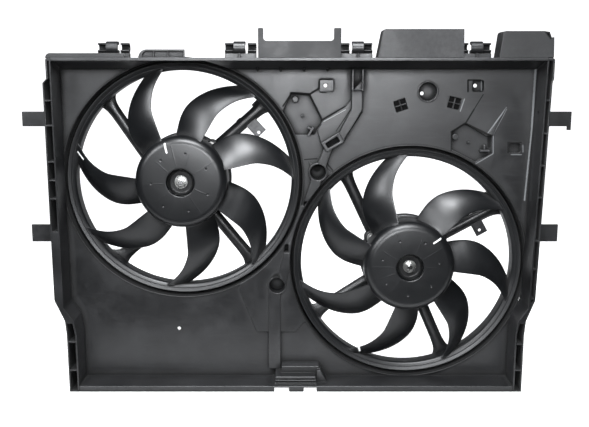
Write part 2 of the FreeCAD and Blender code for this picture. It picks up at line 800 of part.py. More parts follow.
def fan_ring(side):
    """The band round the blade tips with its flared front lip."""
    inner = ring_band_r - ring_band_t
    lip_back = ring_front + ring_lip_t
    profile = [
        (inner, ring_front + ring_length, 1.0),
        (inner, ring_front, 5.0),
        (ring_r, ring_front, 2.4),
        (ring_r, ring_front + ring_return, 0.8),
        (ring_r - ring_lip_t, ring_front + ring_return, 0.8),
        (ring_r - ring_lip_t, lip_back, 1.0),
        (ring_band_r, lip_back, 2.0),
        (ring_band_r, ring_front + ring_length, 1.0),
    ]
    return turned(profile, centres[side])


def fan_hub(side):
    """The hub cup with its dished middle, shaft boss, inner ribs and small dimples."""
    centre = centres[side]
    back = hub_front + hub_length
    floor = hub_front + recess_depth
    profile = [
        (shaft_r + push_gap, floor, 0.0),
        (recess_r - 5.0, floor, 2.0),
        (recess_r, hub_front, 1.6),
        (hub_r, hub_front, hub_round),
        (hub_r, back, 0.8),
        (hub_r - hub_wall, back, 0.8),
        (hub_r - hub_wall, hub_front + hub_wall + 1.0, hub_round - hub_wall),
        (recess_r + hub_wall, hub_front + hub_wall + 1.0, 2.0),
        (recess_r - 5.0 + hub_wall, floor + hub_wall + 1.0, 1.0),
        (hub_boss_r, floor + hub_wall + 1.0, 1.0),
        (hub_boss_r, hub_front + hub_boss_length, 0.5),
        (shaft_r + push_gap, hub_front + hub_boss_length, 0.0),
    ]
    body = turned(profile, centre)
    start = left_blade_start if side == "left" else right_blade_start
    ribs = []
    for k in range(dimple_count):
        angle = start + dimple_phase + 360.0 / dimple_count * (k + 0.5)
        x, z = centre
        rib = block(x + recess_r + 1.0, x + hub_r - hub_wall + 0.8, hub_front + hub_wall, hub_front + hub_wall + 6.0,
                    z - hub_rib_t / 2, z + hub_rib_t / 2)
        ribs.append(spun(rib, centre, angle))
    limit = turned([(recess_r, hub_front + 1.0, 0.0), (hub_r - hub_wall / 2, hub_front + hub_round, 0.0),
                    (hub_r - hub_wall / 2, back, 0.0), (recess_r, back, 0.0)], centre)
    body = fuse([body] + [rib.common(limit) for rib in ribs])
    pits = []
    for k in range(dimple_count):
        x, z = polar(centre, dimple_pitch_r, start + dimple_phase + 360.0 / dimple_count * k)
        pits.append(rod(x, z, dimple_r, hub_front - 1.0, hub_front + dimple_deep))
    return cut(body, pits)


def shaft(side):
    x, z = centres[side]
    front = hub_front + recess_depth - washer_t - nut_t - 2.0
    return rod(x, z, shaft_r, front, can_back + cover_t + 1.0)


def nut(side):
    """The flanged hexagon nut that holds the fan on its shaft."""
    x, z = centres[side]
    seat = hub_front + recess_depth - washer_t
    corners = [polar((x, z), nut_across, 60.0 * k + 15.0) for k in range(6)]
    head = plate(corners, seat - nut_t, seat)
    collar_piece = rod(x, z, nut_r, seat - 1.8, seat)
    return fuse([head, collar_piece]).cut(rod(x, z, shaft_r + push_gap, 0.0, seat + 1.0))


def washer(side):
    x, z = centres[side]
    seat = hub_front + recess_depth
    return rod(x, z, washer_r, seat - washer_t, seat).cut(rod(x, z, shaft_r + push_gap, 0.0, seat + 1.0))


def ring_piece(centre, inner, outer, d0, d1):
    return rod(centre[0], centre[1], outer, d0, d1).cut(rod(centre[0], centre[1], inner, d0 - 1.0, d1 + 1.0))


def motor_can(side):
    """The drawn steel can with the front bearing seat and three ears."""
    centre = centres[side]
    seat = bearing_r + push_gap
    wall = ring_piece(centre, can_r - can_t, can_r, can_front, can_back)
    front = ring_piece(centre, seat, can_r, can_front, can_front + can_t)
    boss = ring_piece(centre, seat, seat + bearing_wall, can_front - 1.5, can_front + bearing_length)
    stop = ring_piece(centre, shaft_r + 1.5, seat + bearing_wall, can_front - 1.5, can_front)
    flange = ring_piece(centre, can_r - 0.5, can_r + 6.0, ear_depth - ear_t, ear_depth)
    pieces = [wall, front, boss, stop, flange]
    for k in range(3):
        angle = ear_angle(side, k)
        x, z = polar(centre, ear_pitch_r, angle)
        ear = rod(x, z, ear_r, ear_depth - ear_t, ear_depth)
        web = spun(block(centre[0] + can_r - 0.5, centre[0] + ear_pitch_r, ear_depth - ear_t, ear_depth,
                         centre[1] - ear_r, centre[1] + ear_r), centre, angle)
        pieces += [ear, web]
    body = fuse(pieces)
    drills = []
    for k in range(3):
        x, z = polar(centre, ear_pitch_r, ear_angle(side, k))
        drills.append(rod(x, z, screw_r + screw_clearance, 0.0, 2 * ear_depth))
    return cut(body, drills)


def motor_cover(side):
    """The end cover with the rear bearing seat, cooling slots and the lead outlet."""
    centre = centres[side]
    seat = bearing_r + push_gap
    disc = ring_piece(centre, shaft_r + 1.5, can_r, can_back, can_back + cover_t)
    spigot = ring_piece(centre, can_r - can_t - 2.5, can_r - can_t - push_gap, can_back - cover_t, can_back)
    boss = ring_piece(centre, seat, seat + bearing_wall, can_back - bearing_length, can_back)
    dome = rod(centre[0], centre[1], seat + bearing_wall, can_back + cover_t, can_back + cover_t + 5.0)
    dome = dome.cut(rod(centre[0], centre[1], shaft_r + 1.5, 0.0, can_back + cover_t + 3.0))
    rim = ring_piece(centre, can_r - 3.0, can_r, can_back + cover_t, can_back + cover_t + cover_skirt)
    pieces = [disc, spigot, boss, dome, rim]
    for k in range(6):
        rib = block(centre[0] + seat + 1.0, centre[0] + can_r - 2.0, can_back + cover_t, can_back + cover_t + 3.0,
                    centre[1] - 1.2, centre[1] + 1.2)
        pieces.append(spun(rib, centre, 60.0 * k + ear_angle(side, 0) + 30.0))
    arm_deg = lead_angle(side)
    outlet_z = centre[1] + lead_side[side]
    outlet = block(centre[0] + can_r - 3 * gland_length / 2, centre[0] + can_r + gland_length,
                   can_back, can_back + outlet_tall, outlet_z - wire_pitch - 2.0, outlet_z + wire_pitch + 2.0)
    pieces.append(spun(outlet, centre, arm_deg))
    body = fuse(pieces)
    holes = []
    for x_offset in wire_offsets(side):
        start = FreeCAD.Vector(centre[0] + can_r - 8.0, y_at(lead_depth()), centre[1] + x_offset)
        hole = Part.makeCylinder(wire_r + push_gap, 40.0, start, FreeCAD.Vector(1, 0, 0))
        holes.append(spun(hole, centre, arm_deg))
    return cut(body, holes)


def lead_depth():
    return collar_back + arm_depth + wire_r + 2.3


def lead_angle(side):
    arms = left_arms if side == "left" else right_arms
    return (arms[1][0] + arms[1][1]) / 2


def wire_offsets(side):
    return (lead_side[side] - wire_pitch / 2, lead_side[side] + wire_pitch / 2)


def motor_lead(side):
    """Two wires from the motor's outlet along the back of one spider arm to the plug."""
    centre = centres[side]
    wires = []
    for offset in wire_offsets(side):
        start = FreeCAD.Vector(centre[0] + can_r - 2.0, y_at(lead_depth()), centre[1] + offset)
        length = arm_end_r - plug_length - can_r + 2.0
        wire = Part.makeCylinder(wire_r, length, start, FreeCAD.Vector(1, 0, 0))
        wires.append(spun(wire, centre, lead_angle(side)))
    return Part.makeCompound(wires)


def lead_clips(side):
    """Two saddles that hold the wires down on the arm."""
    centre = centres[side]
    middle = centre[1] + lead_side[side]
    low = min(middle - wire_pitch, centre[1]) - 2.6
    high = middle + wire_pitch + 2.6
    slot_half = wire_pitch / 2 + wire_r + push_gap
    d0 = collar_back + arm_depth
    out = []
    for radius in clip_radii:
        x = centre[0] + radius
        saddle = block(x - 4.0, x + 4.0, d0, lead_depth() + wire_r + 3.0, low, high)
        slot = block(x - 5.0, x + 5.0, d0 - 1.0, lead_depth() + wire_r + push_gap, middle - slot_half,
                     middle + slot_half)
        out.append(spun(saddle.cut(slot), centre, lead_angle(side)))
    return Part.makeCompound(out)


def plug(side):
    """The plug housing at the end of the wires, seated on the end of the arm."""
    centre = centres[side]
    z = centre[1] + lead_side[side]
    d0 = collar_back + arm_depth
    x0 = centre[0] + arm_end_r - plug_length
    x1 = centre[0] + arm_end_r
    half = plug_width / 2
    back = d0 + plug_tall
    shell = block(x0, x1, d0, back, z - half, z + half)
    mouth = block(x0 + plug_floor, x1 + 1.0, d0 + plug_wall, back - plug_wall, z - half + plug_wall,
                  z + half - plug_wall)
    latch = block(x0 + plug_wall, x1 - 2 * plug_wall, back, back + plug_wall, z - 2 * plug_wall, z + 2 * plug_wall)
    pins = []
    for offset in wire_offsets(side):
        pin_z = centre[1] + offset
        middle = d0 + plug_tall / 2
        pins.append(block(x0 + plug_floor - 1.0, x1 - 6.0, middle - 0.8, middle + 0.8, pin_z - 1.6, pin_z + 1.6))
    return spun(fuse([shell.cut(mouth), latch] + pins), centre, lead_angle(side))


def bearing(side, rear):
    centre = centres[side]
    d0 = can_back - bearing_length if rear else can_front
    inner = shaft_r + running_gap
    body = ring_piece(centre, inner, bearing_r, d0, d0 + bearing_length)
    for face in (d0 - 1.0, d0 + bearing_length - 0.8):
        body = body.cut(ring_piece(centre, inner + 2.2, bearing_r - 2.0, face, face + 1.8))
    return body


def armature(side):
    """The slotted core with its windings; it turns with the shaft."""
    centre = centres[side]
    core_r = can_r - can_t - magnet_t - air_gap
    d0 = can_front + bearing_length + 5.0
    core = ring_piece(centre, shaft_r + push_gap, core_r, d0, d0 + armature_length)
    slots = []
    for k in range(12):
        slot = block(centre[0] + core_r - 9.0, centre[0] + core_r + 1.0, d0 - 1.0, d0 + armature_length + 1.0,
                     centre[1] - 1.6, centre[1] + 1.6)
        slots.append(spun(slot, centre, 30.0 * k))
    return cut(core, slots)


def winding(side):
    """The copper ends of the windings, on both ends of the core."""
    centre = centres[side]
    core_r = can_r - can_t - magnet_t - air_gap
    d0 = can_front + bearing_length + 5.0
    rings = []
    for a, b in ((d0 - winding_t, d0), (d0 + armature_length, d0 + armature_length + winding_t)):
        rings.append(ring_piece(centre, commutator_r + 3.0, core_r - 4.0, a, b))
    return Part.makeCompound(rings)


def commutator(side):
    centre = centres[side]
    back = can_back - bearing_length - 0.6
    return ring_piece(centre, shaft_r + push_gap, commutator_r, back - commutator_length, back)


def magnets(side):
    """Four curved magnets stuck to the inside of the can."""
    centre = centres[side]
    outer = can_r - can_t - push_gap
    d0 = can_front + bearing_length + 1.0
    out = []
    full = ring_piece(centre, outer - magnet_t, outer, d0, d0 + magnet_length)
    for k in range(4):
        wedge = plate([centre, polar(centre, 2 * outer, 90.0 * k + 6.0), polar(centre, 3 * outer, 90.0 * k + 45.0),
                       polar(centre, 2 * outer, 90.0 * k + 84.0)], d0, d0 + magnet_length)
        out.append(full.common(wedge).Solids[0])
    return Part.makeCompound(out)


def brush_depths():
    """Where the brushes run: a little short of the commutator's back end."""
    back = can_back - bearing_length - 1.0
    return back - brush_tall, back


def brush_card(side):
    """The insulating plate inside the end of the can, with two brush boxes."""
    centre = centres[side]
    d0 = can_back - cover_t - card_t
    low, high = brush_depths()
    card = ring_piece(centre, bearing_r + bearing_wall + 1.0, can_r - can_t - push_gap, d0, d0 + card_t)
    boxes = []
    for k in range(2):
        r0 = commutator_r + 3.0
        shell = block(centre[0] + r0, centre[0] + r0 + brush_length + 4.0, low - brush_box_t, d0,
                      centre[1] - brush_width / 2 - brush_box_t, centre[1] + brush_width / 2 + brush_box_t)
        hole = block(centre[0] + r0 - 1.0, centre[0] + r0 + brush_length + 2.0, low - push_gap, high + push_gap,
                     centre[1] - brush_width / 2 - push_gap, centre[1] + brush_width / 2 + push_gap)
        boxes.append(spun(shell.cut(hole), centre, 180.0 * k + 15.0))
    return fuse([card] + boxes)


def brushes(side):
    centre = centres[side]
    low, high = brush_depths()
    out = []
    for k in range(2):
        brush = block(centre[0] + commutator_r - 1.0, centre[0] + commutator_r + brush_gap + brush_length, low, high,
                      centre[1] - brush_width / 2, centre[1] + brush_width / 2)
        brush = brush.cut(rod(centre[0], centre[1], commutator_r + brush_gap, 0.0, 2 * can_back))
        out.append(spun(brush, centre, 180.0 * k + 15.0))
    return Part.makeCompound(out)


def motor_screws(side):
    """Three flanged screws that clamp the motor's ears to the spider."""
    centre = centres[side]
    out = []
    for k in range(3):
        x, z = polar(centre, ear_pitch_r, ear_angle(side, k))
        face = ear_depth - ear_t
        head = rod(x, z, screw_head_r, face - screw_head_t, face)
        corners = [polar((x, z), screw_head_r * 0.55, 60.0 * n) for n in range(6)]
        head = head.cut(plate(corners, face - screw_head_t - 1.0, face - screw_head_t + 2.0))
        shank = rod(x, z, screw_r, face, collar_back + arm_depth)
        out.append(fuse([head, shank]))
    return Part.makeCompound(out)


def ear_bracket():
    """The flat bracket with two upright ears on the middle of the top lip."""
    x0, x1, low_top, high_top, ear_w = plate_bracket
    base = top_z + wall_t + 1.0
    left_ear = x0 + ear_w - 1.0
    right_ear = x1 - ear_w - 2.0
    face = plate(
        [
            (x0, base),
            (x1, base),
            (x1, high_top, 1.5),
            (right_ear, high_top, 1.5),
            (right_ear, low_top, 5.0),
            (left_ear, low_top, 5.0),
            (left_ear, high_top, 1.5),
            (x0, high_top, 1.5),
        ],
        0.0,
        bracket_t,
    )
    gusset = [
        (bracket_t, base),
        (bracket_depth, top_inside(bracket_depth) + wall_t),
        (bracket_depth, base - 2.0),
        (bracket_t, high_top - 6.0),
    ]
    gussets = [bar(gusset, x, x + bracket_t) for x in (x0, x1 - bracket_t)]
    return fuse([face] + gussets).cut(under_top())


def under_top():
    """Everything below the outside of the top wall and its lip."""
    outside = top_inside(tray_back) + wall_t
    points = [
        (-5.0, top_z - 60.0),
        (tray_back + 20.0, top_z - 60.0),
        (tray_back + 20.0, outside),
        (tray_back, outside),
        (lip_t, top_z + wall_t),
        (lip_t, top_z + wall_t + 1.0),
        (-5.0, top_z + wall_t + 1.0),
    ]
    return bar(points, 1.5 * left_upper_x, 1.5 * right_top_x)


def hood(sizes, slant_right):
    """A hollow box bracket on the top lip, open at the back, with a leaning left side."""
    low_left, top_left, top_right, low_right, top = sizes
    base = top_z - top_fall
    skin = bracket_t
    outer = plate([(low_left, base), (low_right, base), (top_right, top), (top_left, top, 5.0)], 0.0, bracket_depth)
    inner = plate(
        [
            (low_left + skin + 1.0, base - 1.0),
            (low_right - skin, base - 1.0),
            (top_right - skin, top - skin),
            (top_left + skin, top - skin, 3.0),
        ],
        skin,
        bracket_depth + 1.0,
    )
    body = outer.cut(inner)
    if slant_right:
        cutter = bar([(-1.0, top + 1.0), (-1.0, top_z + 30.0), (24.0, top + 1.0)], top_right - 60.0, low_right + 5.0)
        cutter.rotate(FreeCAD.Vector(top_right, y_at(0.0), top), FreeCAD.Vector(0, 1, 0), 52.0)
        body = body.cut(cutter)
    width = top_right - top_left
    ribs = [block(x, x + 2.0, skin, bracket_depth - 4.0, base, top - skin / 2)
            for x in (top_left + width * 0.34, top_left + width * 0.68)]
    channel_top = block(right_top_x, right_top_x + 2 * rail_width, -1.0, rail_depth, 0.0, top_z + wall_t)
    return cut(fuse([body] + ribs), [under_top(), channel_top])


def clip(x, mirrored):
    """One snap clip for a pipe along X: two outer prongs open to the front, a hook open to the back."""
    half = clip_width / 2
    hook_start = -half + clip_prong_width
    spans = [
        (-half, hook_start, clip_prong_r, -1.0),
        (hook_start, hook_start + clip_hook_width, clip_hook_r, 1.0),
        (half - clip_prong_width, half, clip_prong_r, -1.0),
    ]
    low = top_inside(clip_axis_depth + clip_foot_half)
    reach = 2 * clip_hook_r
    spread = reach * math.tan(math.radians(clip_mouth / 2))
    pieces = []
    for a, b, radius, mouth in spans:
        if mirrored:
            a, b = -b, -a
        ring = rod_x(x + a, x + b, clip_axis_depth, clip_axis_z, radius)
        bore = rod_x(x + a - 1.0, x + b + 1.0, clip_axis_depth, clip_axis_z, clip_bore_r)
        far = clip_axis_depth + mouth * reach
        opening = [(clip_axis_depth, clip_axis_z), (far, clip_axis_z + spread), (far, clip_axis_z - spread * 0.55)]
        pieces.append(cut(ring, [bore, bar(opening, x + a - 1.0, x + b + 1.0)]))
        stem = block(x + a, x + b, clip_axis_depth - clip_foot_half / 2, clip_axis_depth + clip_foot_half / 2, low,
                     clip_axis_z - clip_bore_r - 1.0)
        pieces.append(stem)
    foot_top = clip_axis_z - clip_prong_r - 1.0
    front = clip_axis_depth - clip_foot_half
    pieces.append(block(x - half, x + half, front, clip_axis_depth + clip_foot_half, low, foot_top))
    gusset_x = x + (2.0 if mirrored else -2.0)
    gusset = [(front - 8.0, low), (clip_axis_depth, low), (clip_axis_depth, foot_top + 2.0), (front, foot_top + 2.0)]
    pieces.append(bar(gusset, gusset_x - clip_gusset_t / 2, gusset_x + clip_gusset_t / 2))
    return fuse(pieces).cut(under_top())


def pipe_clips():
    """The four clips, kept clear of the duct that bulges through the top wall."""
    duct = rod(left_centre[0], left_centre[1], collar_r + clip_duct_gap, 0.0, 2 * collar_back)
    return Part.makeCompound([clip(x, i >= 2).cut(duct).Solids[0] for i, x in enumerate(clip_x)])


def build():
    single = blade()
    parts["shroud_panel"] = panel()
    parts["shroud_top_rail"] = top_rail()
    parts["shroud_bottom_rail"] = bottom_rail()
    parts["shroud_left_rail"] = side_rail("left")
    parts["shroud_right_rail"] = side_rail("right")
    parts["top_bracket_ears"] = ear_bracket()
    parts["top_bracket_middle"] = hood(middle_hood, False)
    parts["top_bracket_right"] = hood(right_hood, True)
    parts["pipe_clips"] = pipe_clips()
    for side in ("left", "right"):
        parts[side + "_fan_collar"] = collar(side)
        parts[side + "_motor_spider"] = spider(side)
        parts[side + "_fan_hub"] = fan_hub(side)
        parts[side + "_fan_blades"] = fan_blades(side, single)
        parts[side + "_fan_ring"] = fan_ring(side)
        parts[side + "_fan_nut"] = nut(side)
        parts[side + "_fan_washer"] = washer(side)
        parts[side + "_motor_shaft"] = shaft(side)
        parts[side + "_motor_armature"] = armature(side)
        parts[side + "_motor_winding"] = winding(side)
        parts[side + "_motor_commutator"] = commutator(side)
        parts[side + "_motor_can"] = motor_can(side)
        parts[side + "_motor_cover"] = motor_cover(side)
        parts[side + "_motor_magnets"] = magnets(side)
        parts[side + "_brush_card"] = brush_card(side)
        parts[side + "_brushes"] = brushes(side)
        parts[side + "_front_bearing"] = bearing(side, False)
        parts[side + "_rear_bearing"] = bearing(side, True)
        parts[side + "_motor_screws"] = motor_screws(side)
        parts[side + "_motor_lead"] = motor_lead(side)
        parts[side + "_lead_clips"] = lead_clips(side)
        parts[side + "_motor_plug"] = plug(side)


build()
os.makedirs("parts", exist_ok=True)
for name, shape in parts.items():
    shape.exportStep(os.path.join("parts", name + ".step"))
    print(name, "solids", len(shape.Solids), "volume", round(shape.Volume, 1), "valid", shape.isValid())
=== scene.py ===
"""Looks of a twin-fan radiator shroud assembly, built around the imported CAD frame.

Lengths are metres in the frame of the model: X to the right seen from the radiator side, Y away from
the radiator along the fan axes, Z up.  A depth is a distance behind the front rim of the tray.
"""

import math

import bmesh
import bpy
import numpy as np
from bpy.props import FloatProperty, FloatVectorProperty, IntProperty, PointerProperty
from bpy.types import Operator, Panel, PropertyGroup
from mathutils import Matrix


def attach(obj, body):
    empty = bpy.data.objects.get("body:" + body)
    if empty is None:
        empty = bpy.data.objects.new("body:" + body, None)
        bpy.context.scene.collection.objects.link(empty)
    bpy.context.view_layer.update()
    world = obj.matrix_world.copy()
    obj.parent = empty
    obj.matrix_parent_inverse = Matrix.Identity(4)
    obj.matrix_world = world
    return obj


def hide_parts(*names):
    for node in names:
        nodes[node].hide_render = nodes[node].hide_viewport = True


bl_info = {
    "name": "Radiator fan shroud",
    "version": (1, 0, 0),
    "blender": (4, 5, 0),
    "location": "View3D > Sidebar > Fan shroud",
    "description": "Dresses the fans, motors and shroud of a radiator fan assembly",
    "category": "Object",
}

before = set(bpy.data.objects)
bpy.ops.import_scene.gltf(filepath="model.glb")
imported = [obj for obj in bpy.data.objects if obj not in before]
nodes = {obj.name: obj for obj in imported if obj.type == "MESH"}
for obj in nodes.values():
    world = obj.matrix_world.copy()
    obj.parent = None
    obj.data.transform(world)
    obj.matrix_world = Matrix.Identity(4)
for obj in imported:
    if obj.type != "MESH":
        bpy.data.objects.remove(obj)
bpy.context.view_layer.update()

MM = 0.001
RIM_Y = -12.0
FAN_CENTRES = {"left": (-183.25, 341.2), "right": (183.25, 203.4)}
BLADE_STARTS = {"left": 176.2, "right": 106.2}
BLADE_STEPS = (0.0, 45.4, 53.8, 47.8, 52.9, 47.6, 50.8)
SIDES = ("left", "right")
# Motor arms: angle at the duct and angle at the motor ring; the small plate's angle and radius; first ear's angle.
ARMS = {
    "left": ((134.7, 155.7), (42.4, 45.0), (229.7, 250.4), (307.6, 305.3)),
    "right": ((124.8, 142.6), (29.6, 31.0), (212.5, 211.8), (292.7, 291.0)),
}
PLATES = {"left": (31.5, 142.0), "right": (20.5, 135.0)}
EARS = {"left": 50.0, "right": 28.0}
# Closed half sections as corners (radius, depth, corner radius).
HUB_SECTION = (
    (4.0, 29.0, 0.0), (17.5, 29.0, 2.0), (22.5, 18.0, 1.6), (73.5, 18.0, 13.0), (73.5, 64.0, 0.8), (70.9, 64.0, 0.8),
    (70.9, 21.6, 10.4), (25.1, 21.6, 2.0), (20.1, 32.6, 1.0), (12.0, 32.6, 1.0), (12.0, 38.0, 0.5), (4.0, 38.0, 0.0),
)
RING_SECTION = (
    (175.2, 83.0, 1.0), (175.2, 60.5, 5.0), (181.0, 57.0, 0.6), (181.5, 57.6, 0.3), (182.2, 56.3, 0.5),
    (187.4, 54.0, 1.0), (188.0, 55.2, 0.5), (188.0, 65.0, 0.8), (185.4, 65.0, 0.8), (185.4, 58.6, 1.0),
    (180.0, 61.6, 2.0), (180.0, 83.0, 1.0),
)
DUCT_SECTION = (
    (193.5, 47.5, 0.9), (195.4, 47.5, 0.9), (195.4, 89.0, 1.5), (180.0, 89.0, 0.6), (180.0, 86.0, 1.2),
    (193.5, 86.0, 5.0),
)
CARRIER_SECTION = ((50.02, 86.0, 0.5), (75.0, 86.0, 2.5), (75.0, 101.0, 1.5), (50.02, 101.0, 0.5))
EAR_SECTION = ((2.65, 86.0, 0.3), (12.5, 86.0, 2.0), (12.5, 101.0, 1.2), (2.65, 101.0, 0.3))
HUB_FACE_DEPTH = 18.0
RECESS_R = 22.3
PIT_CIRCLE_R = 46.5
RIB_ANGLES = (8.0, 52.0, 88.0, 118.0, 141.0, 172.0, 205.0, 262.0, 300.0, 332.0)
BLADE_ROOT_R = 72.1
BLADE_TIP_R = 178.4
BLADE_EDGE_HALF = 0.7
EAR_CIRCLE_R = 66.0
ARM_ROOT_R = 67.0
ARM_FOOT_R = 187.0
ARM_HALF = 9.5
PLATE_HALF = np.array([17.0, 10.0])
PLATE_HOLE_R = 2.6
PLATE_DEPTHS = (92.0, 95.0)
ORIGIN = (0.0, 0.0, 0.0)
BLACK = (0.0, 0.0, 0.0, 1.0)
WHITE = (1.0, 1.0, 1.0, 1.0)
WHITE_PAINT = (0.85, 0.86, 0.85, 1.0)
# Colour of the pale lines painted as highlights on the panel's bends and edges.
HIGHLIGHT_LINE_COLOUR = (0.16, 0.165, 0.17, 1.0)
# Paler colour painted as a highlight on sharp edges.
EDGE_HIGHLIGHT = (0.8, 0.8, 0.8, 1.0)
# Soft lights: name, place, what it looks at, width and height, and the setting that holds its power.
LIGHTS = (
    ("front_light", (0.0, -1.7, 0.66), (0.0, 0.0, 0.45), (0.9, 0.4), "front_power"),
    ("near_light", (0.0, -1.35, 0.72), (0.0, 0.0, 0.45), (0.8, 0.2), "near_power"),
    ("high_light", (0.0, -0.9, 1.7), (0.0, 0.0, 0.35), (0.9, 0.6), "high_power"),
    ("left_light", (-0.9, -0.9, 1.0), (0.0, 0.0, 0.35), (0.5, 0.5), "left_power"),
    ("top_light", (0.0, -0.35, 2.0), (0.0, 0.0, 0.3), (1.6, 0.5), "top_power"),
    ("backdrop_light", (0.0, 2.0, 2.6), (0.0, 2.9, 0.3), (4.0, 2.0), "backdrop_power"),
)
CAMERA_PLACE = (-0.003, -1.2135, 0.5073)
CAMERA_TILT = 80.0
# Strokes in the plane of the front, each as x, z of both ends and its width, in millimetres.
PAINT_STROKES = (
    (-206.6, 402.6, -203.6, 388.8, 2.8), (-353.1, 386.6, -343.8, 375.2, 2.6),
    (220.0, 243.5, 231.0, 250.6, 2.8), (103.5, 62.4, 107.1, 50.8, 4.0),
)
# Painted shade: black strokes along the narrow slots of the pockets and strips of the panel, and black discs in its
# deep cups.
PANEL_SLOT_SHADE = (
    (-21.3, 460.2, -8.1, 480.3, 2.6), (-8.1, 480.3, 20.8, 478.6, 4.6), (20.8, 478.6, 35.5, 487.7, 3.4),
    (36.1, 487.7, 36.1, 500.2, 2.6), (37.3, 502.1, 56.3, 502.1, 2.6), (21.3, 477.5, 41.4, 438.1, 3.2),
    (42.5, 439.6, 77.3, 459.4, 2.6), (25.0, 415.8, 38.5, 430.9, 3.0), (13.1, 374.7, 33.2, 376.3, 2.2),
    (49.4, 368.4, 58.3, 357.8, 2.4), (37.4, 481.9, 47.0, 481.3, 1.6), (87.0, 485.3, 87.4, 457.0, 1.6),
    (86.9, 456.3, 63.4, 420.6, 1.6), (105.0, 450.7, 76.8, 409.4, 2.0), (248.2, 419.0, 270.3, 433.0, 4.0),
    (270.3, 433.0, 282.7, 454.7, 2.8), (282.7, 454.7, 296.5, 478.3, 1.6), (270.4, 432.3, 306.7, 415.0, 4.0),
    (247.7, 417.4, 248.7, 389.3, 2.0), (310.0, 412.6, 310.7, 396.6, 6.0), (271.9, 501.0, 291.2, 501.0, 2.6),
    (33.8, 358.6, 33.9, 358.6, 15.0), (-32.6, 181.0, -32.5, 181.0, 15.0),
    (271.4, 500.2, 272.1, 483.0, 2.6), (339.3, 402.3, 360.2, 402.3, 3.0), (339.4, 401.4, 340.1, 386.1, 2.6),
)
# Painted highlights: pale lines along the panel's bends and rounded edges, each as x, z of both ends and its width.
PANEL_EDGE_HIGHLIGHTS = (
    (315.3, 412.6, 316.5, 384.5, 1.5), (316.1, 384.0, 288.6, 367.6, 1.4), (306.6, 417.7, 334.1, 458.0, 1.9),
    (315.5, 415.0, 334.9, 455.5, 1.3), (294.1, 498.6, 294.7, 484.6, 2.2), (267.0, 471.2, 261.0, 452.3, 2.2),
    (363.6, 398.2, 364.2, 386.9, 1.6), (345.1, 382.7, 362.0, 382.7, 1.6), (377.3, 516.5, 376.5, 426.9, 4.0),
    (90.5, 486.0, 103.2, 486.0, 1.4), (376.5, 426.9, 370.6, 308.8, 3.0), (38.2, 483.8, 54.9, 482.2, 1.2),
    (43.3, 435.7, 78.2, 454.7, 1.2),
)

# Blade stations: radius, leading angle, trailing angle, leading depth, trailing depth.
BLADE_STATIONS = np.array([
    (69.0, -1.0, 35.5, 27.0, 59.0),
    (88.0, -1.5, 31.0, 30.5, 60.0),
    (104.0, -1.8, 27.3, 33.5, 60.5),
    (120.0, -2.4, 22.5, 37.5, 61.5),
    (136.0, -4.8, 15.8, 42.5, 63.0),
    (152.0, -8.1, 8.1, 48.0, 65.5),
    (168.0, -12.5, -0.3, 53.5, 69.0),
    (184.0, -17.5, -8.7, 59.0, 73.0),
])


# ---------------------------------------------------------------- settings

class ShroudSettings(PropertyGroup):
    plastic: FloatVectorProperty(
        name="Shroud plastic", description="Colour of the grained shroud moulding",
        default=(0.0062, 0.0063, 0.0067), size=3, min=0.0, max=1.0, subtype="COLOR")
    dust: FloatVectorProperty(
        name="Handling marks", description="Paler colour of rubbed and dusty places",
        default=(0.019, 0.0195, 0.0205), size=3, min=0.0, max=1.0, subtype="COLOR")
    edge: FloatProperty(
        name="Edge rounding", description="Width of the rounded edges of the mouldings",
        default=0.0006, min=0.0001, max=0.002, unit="LENGTH", precision=4)


class FanSettings(PropertyGroup):
    plastic: FloatVectorProperty(
        name="Fan plastic", description="Colour of the smooth fan moulding",
        default=(0.0028, 0.0031, 0.0036), size=3, min=0.0, max=1.0, subtype="COLOR")
    blade_half: FloatProperty(
        name="Blade half thickness", description="Half the thickness of a blade at mid chord",
        default=0.00135, min=0.0008, max=0.003, unit="LENGTH", precision=5)
    camber: FloatProperty(
        name="Blade camber", description="How far the middle of a blade bulges to the front",
        default=0.0032, min=0.0, max=0.008, unit="LENGTH", precision=4)
    segments: IntProperty(
        name="Round segments", description="Segments round a ring or a hub", default=288, min=48, max=720)


class MotorSettings(PropertyGroup):
    can: FloatVectorProperty(
        name="Can steel", description="Colour of the plated motor can",
        default=(0.40, 0.40, 0.39), size=3, min=0.0, max=1.0, subtype="COLOR")
    edge: FloatProperty(
        name="Edge rounding", description="Width of the rounded edges of metal pieces",
        default=0.0003, min=0.0001, max=0.001, unit="LENGTH", precision=5)


class StageSettings(PropertyGroup):
    floor: FloatVectorProperty(
        name="Backdrop", description="Colour of the floor and the backdrop",
        default=(0.9, 0.9, 0.9), size=3, min=0.0, max=1.0, subtype="COLOR")
    front_power: FloatProperty(
        name="Front light", description="Power of the soft light behind the camera",
        default=5.7, min=0.0, max=500.0, unit="POWER")
    near_power: FloatProperty(
        name="Near light", description="Power of the narrow soft light over the camera",
        default=3.2, min=0.0, max=500.0, unit="POWER")
    high_power: FloatProperty(
        name="High light", description="Power of the soft light high in front",
        default=17.5, min=0.0, max=500.0, unit="POWER")
    left_power: FloatProperty(
        name="Left light", description="Power of the soft light up on the left",
        default=5.0, min=0.0, max=500.0, unit="POWER")
    top_power: FloatProperty(
        name="Top light", description="Power of the soft light overhead",
        default=2.0, min=0.0, max=500.0, unit="POWER")
    backdrop_power: FloatProperty(
        name="Backdrop light", description="Power of the soft light over the backdrop",
        default=12.0, min=0.0, max=1000.0, unit="POWER")
    glow: FloatProperty(
        name="Backdrop glow", description="How bright the backdrop itself looks to the camera",
        default=0.93, min=0.0, max=2.0)
    sky: FloatProperty(
        name="Sky strength", description="Strength of the even light from all round",
        default=0.012, min=0.0, max=5.0)
    lens: FloatProperty(
        name="Lens", description="Focal length of the camera", default=47.67, min=10.0, max=200.0, unit="CAMERA")


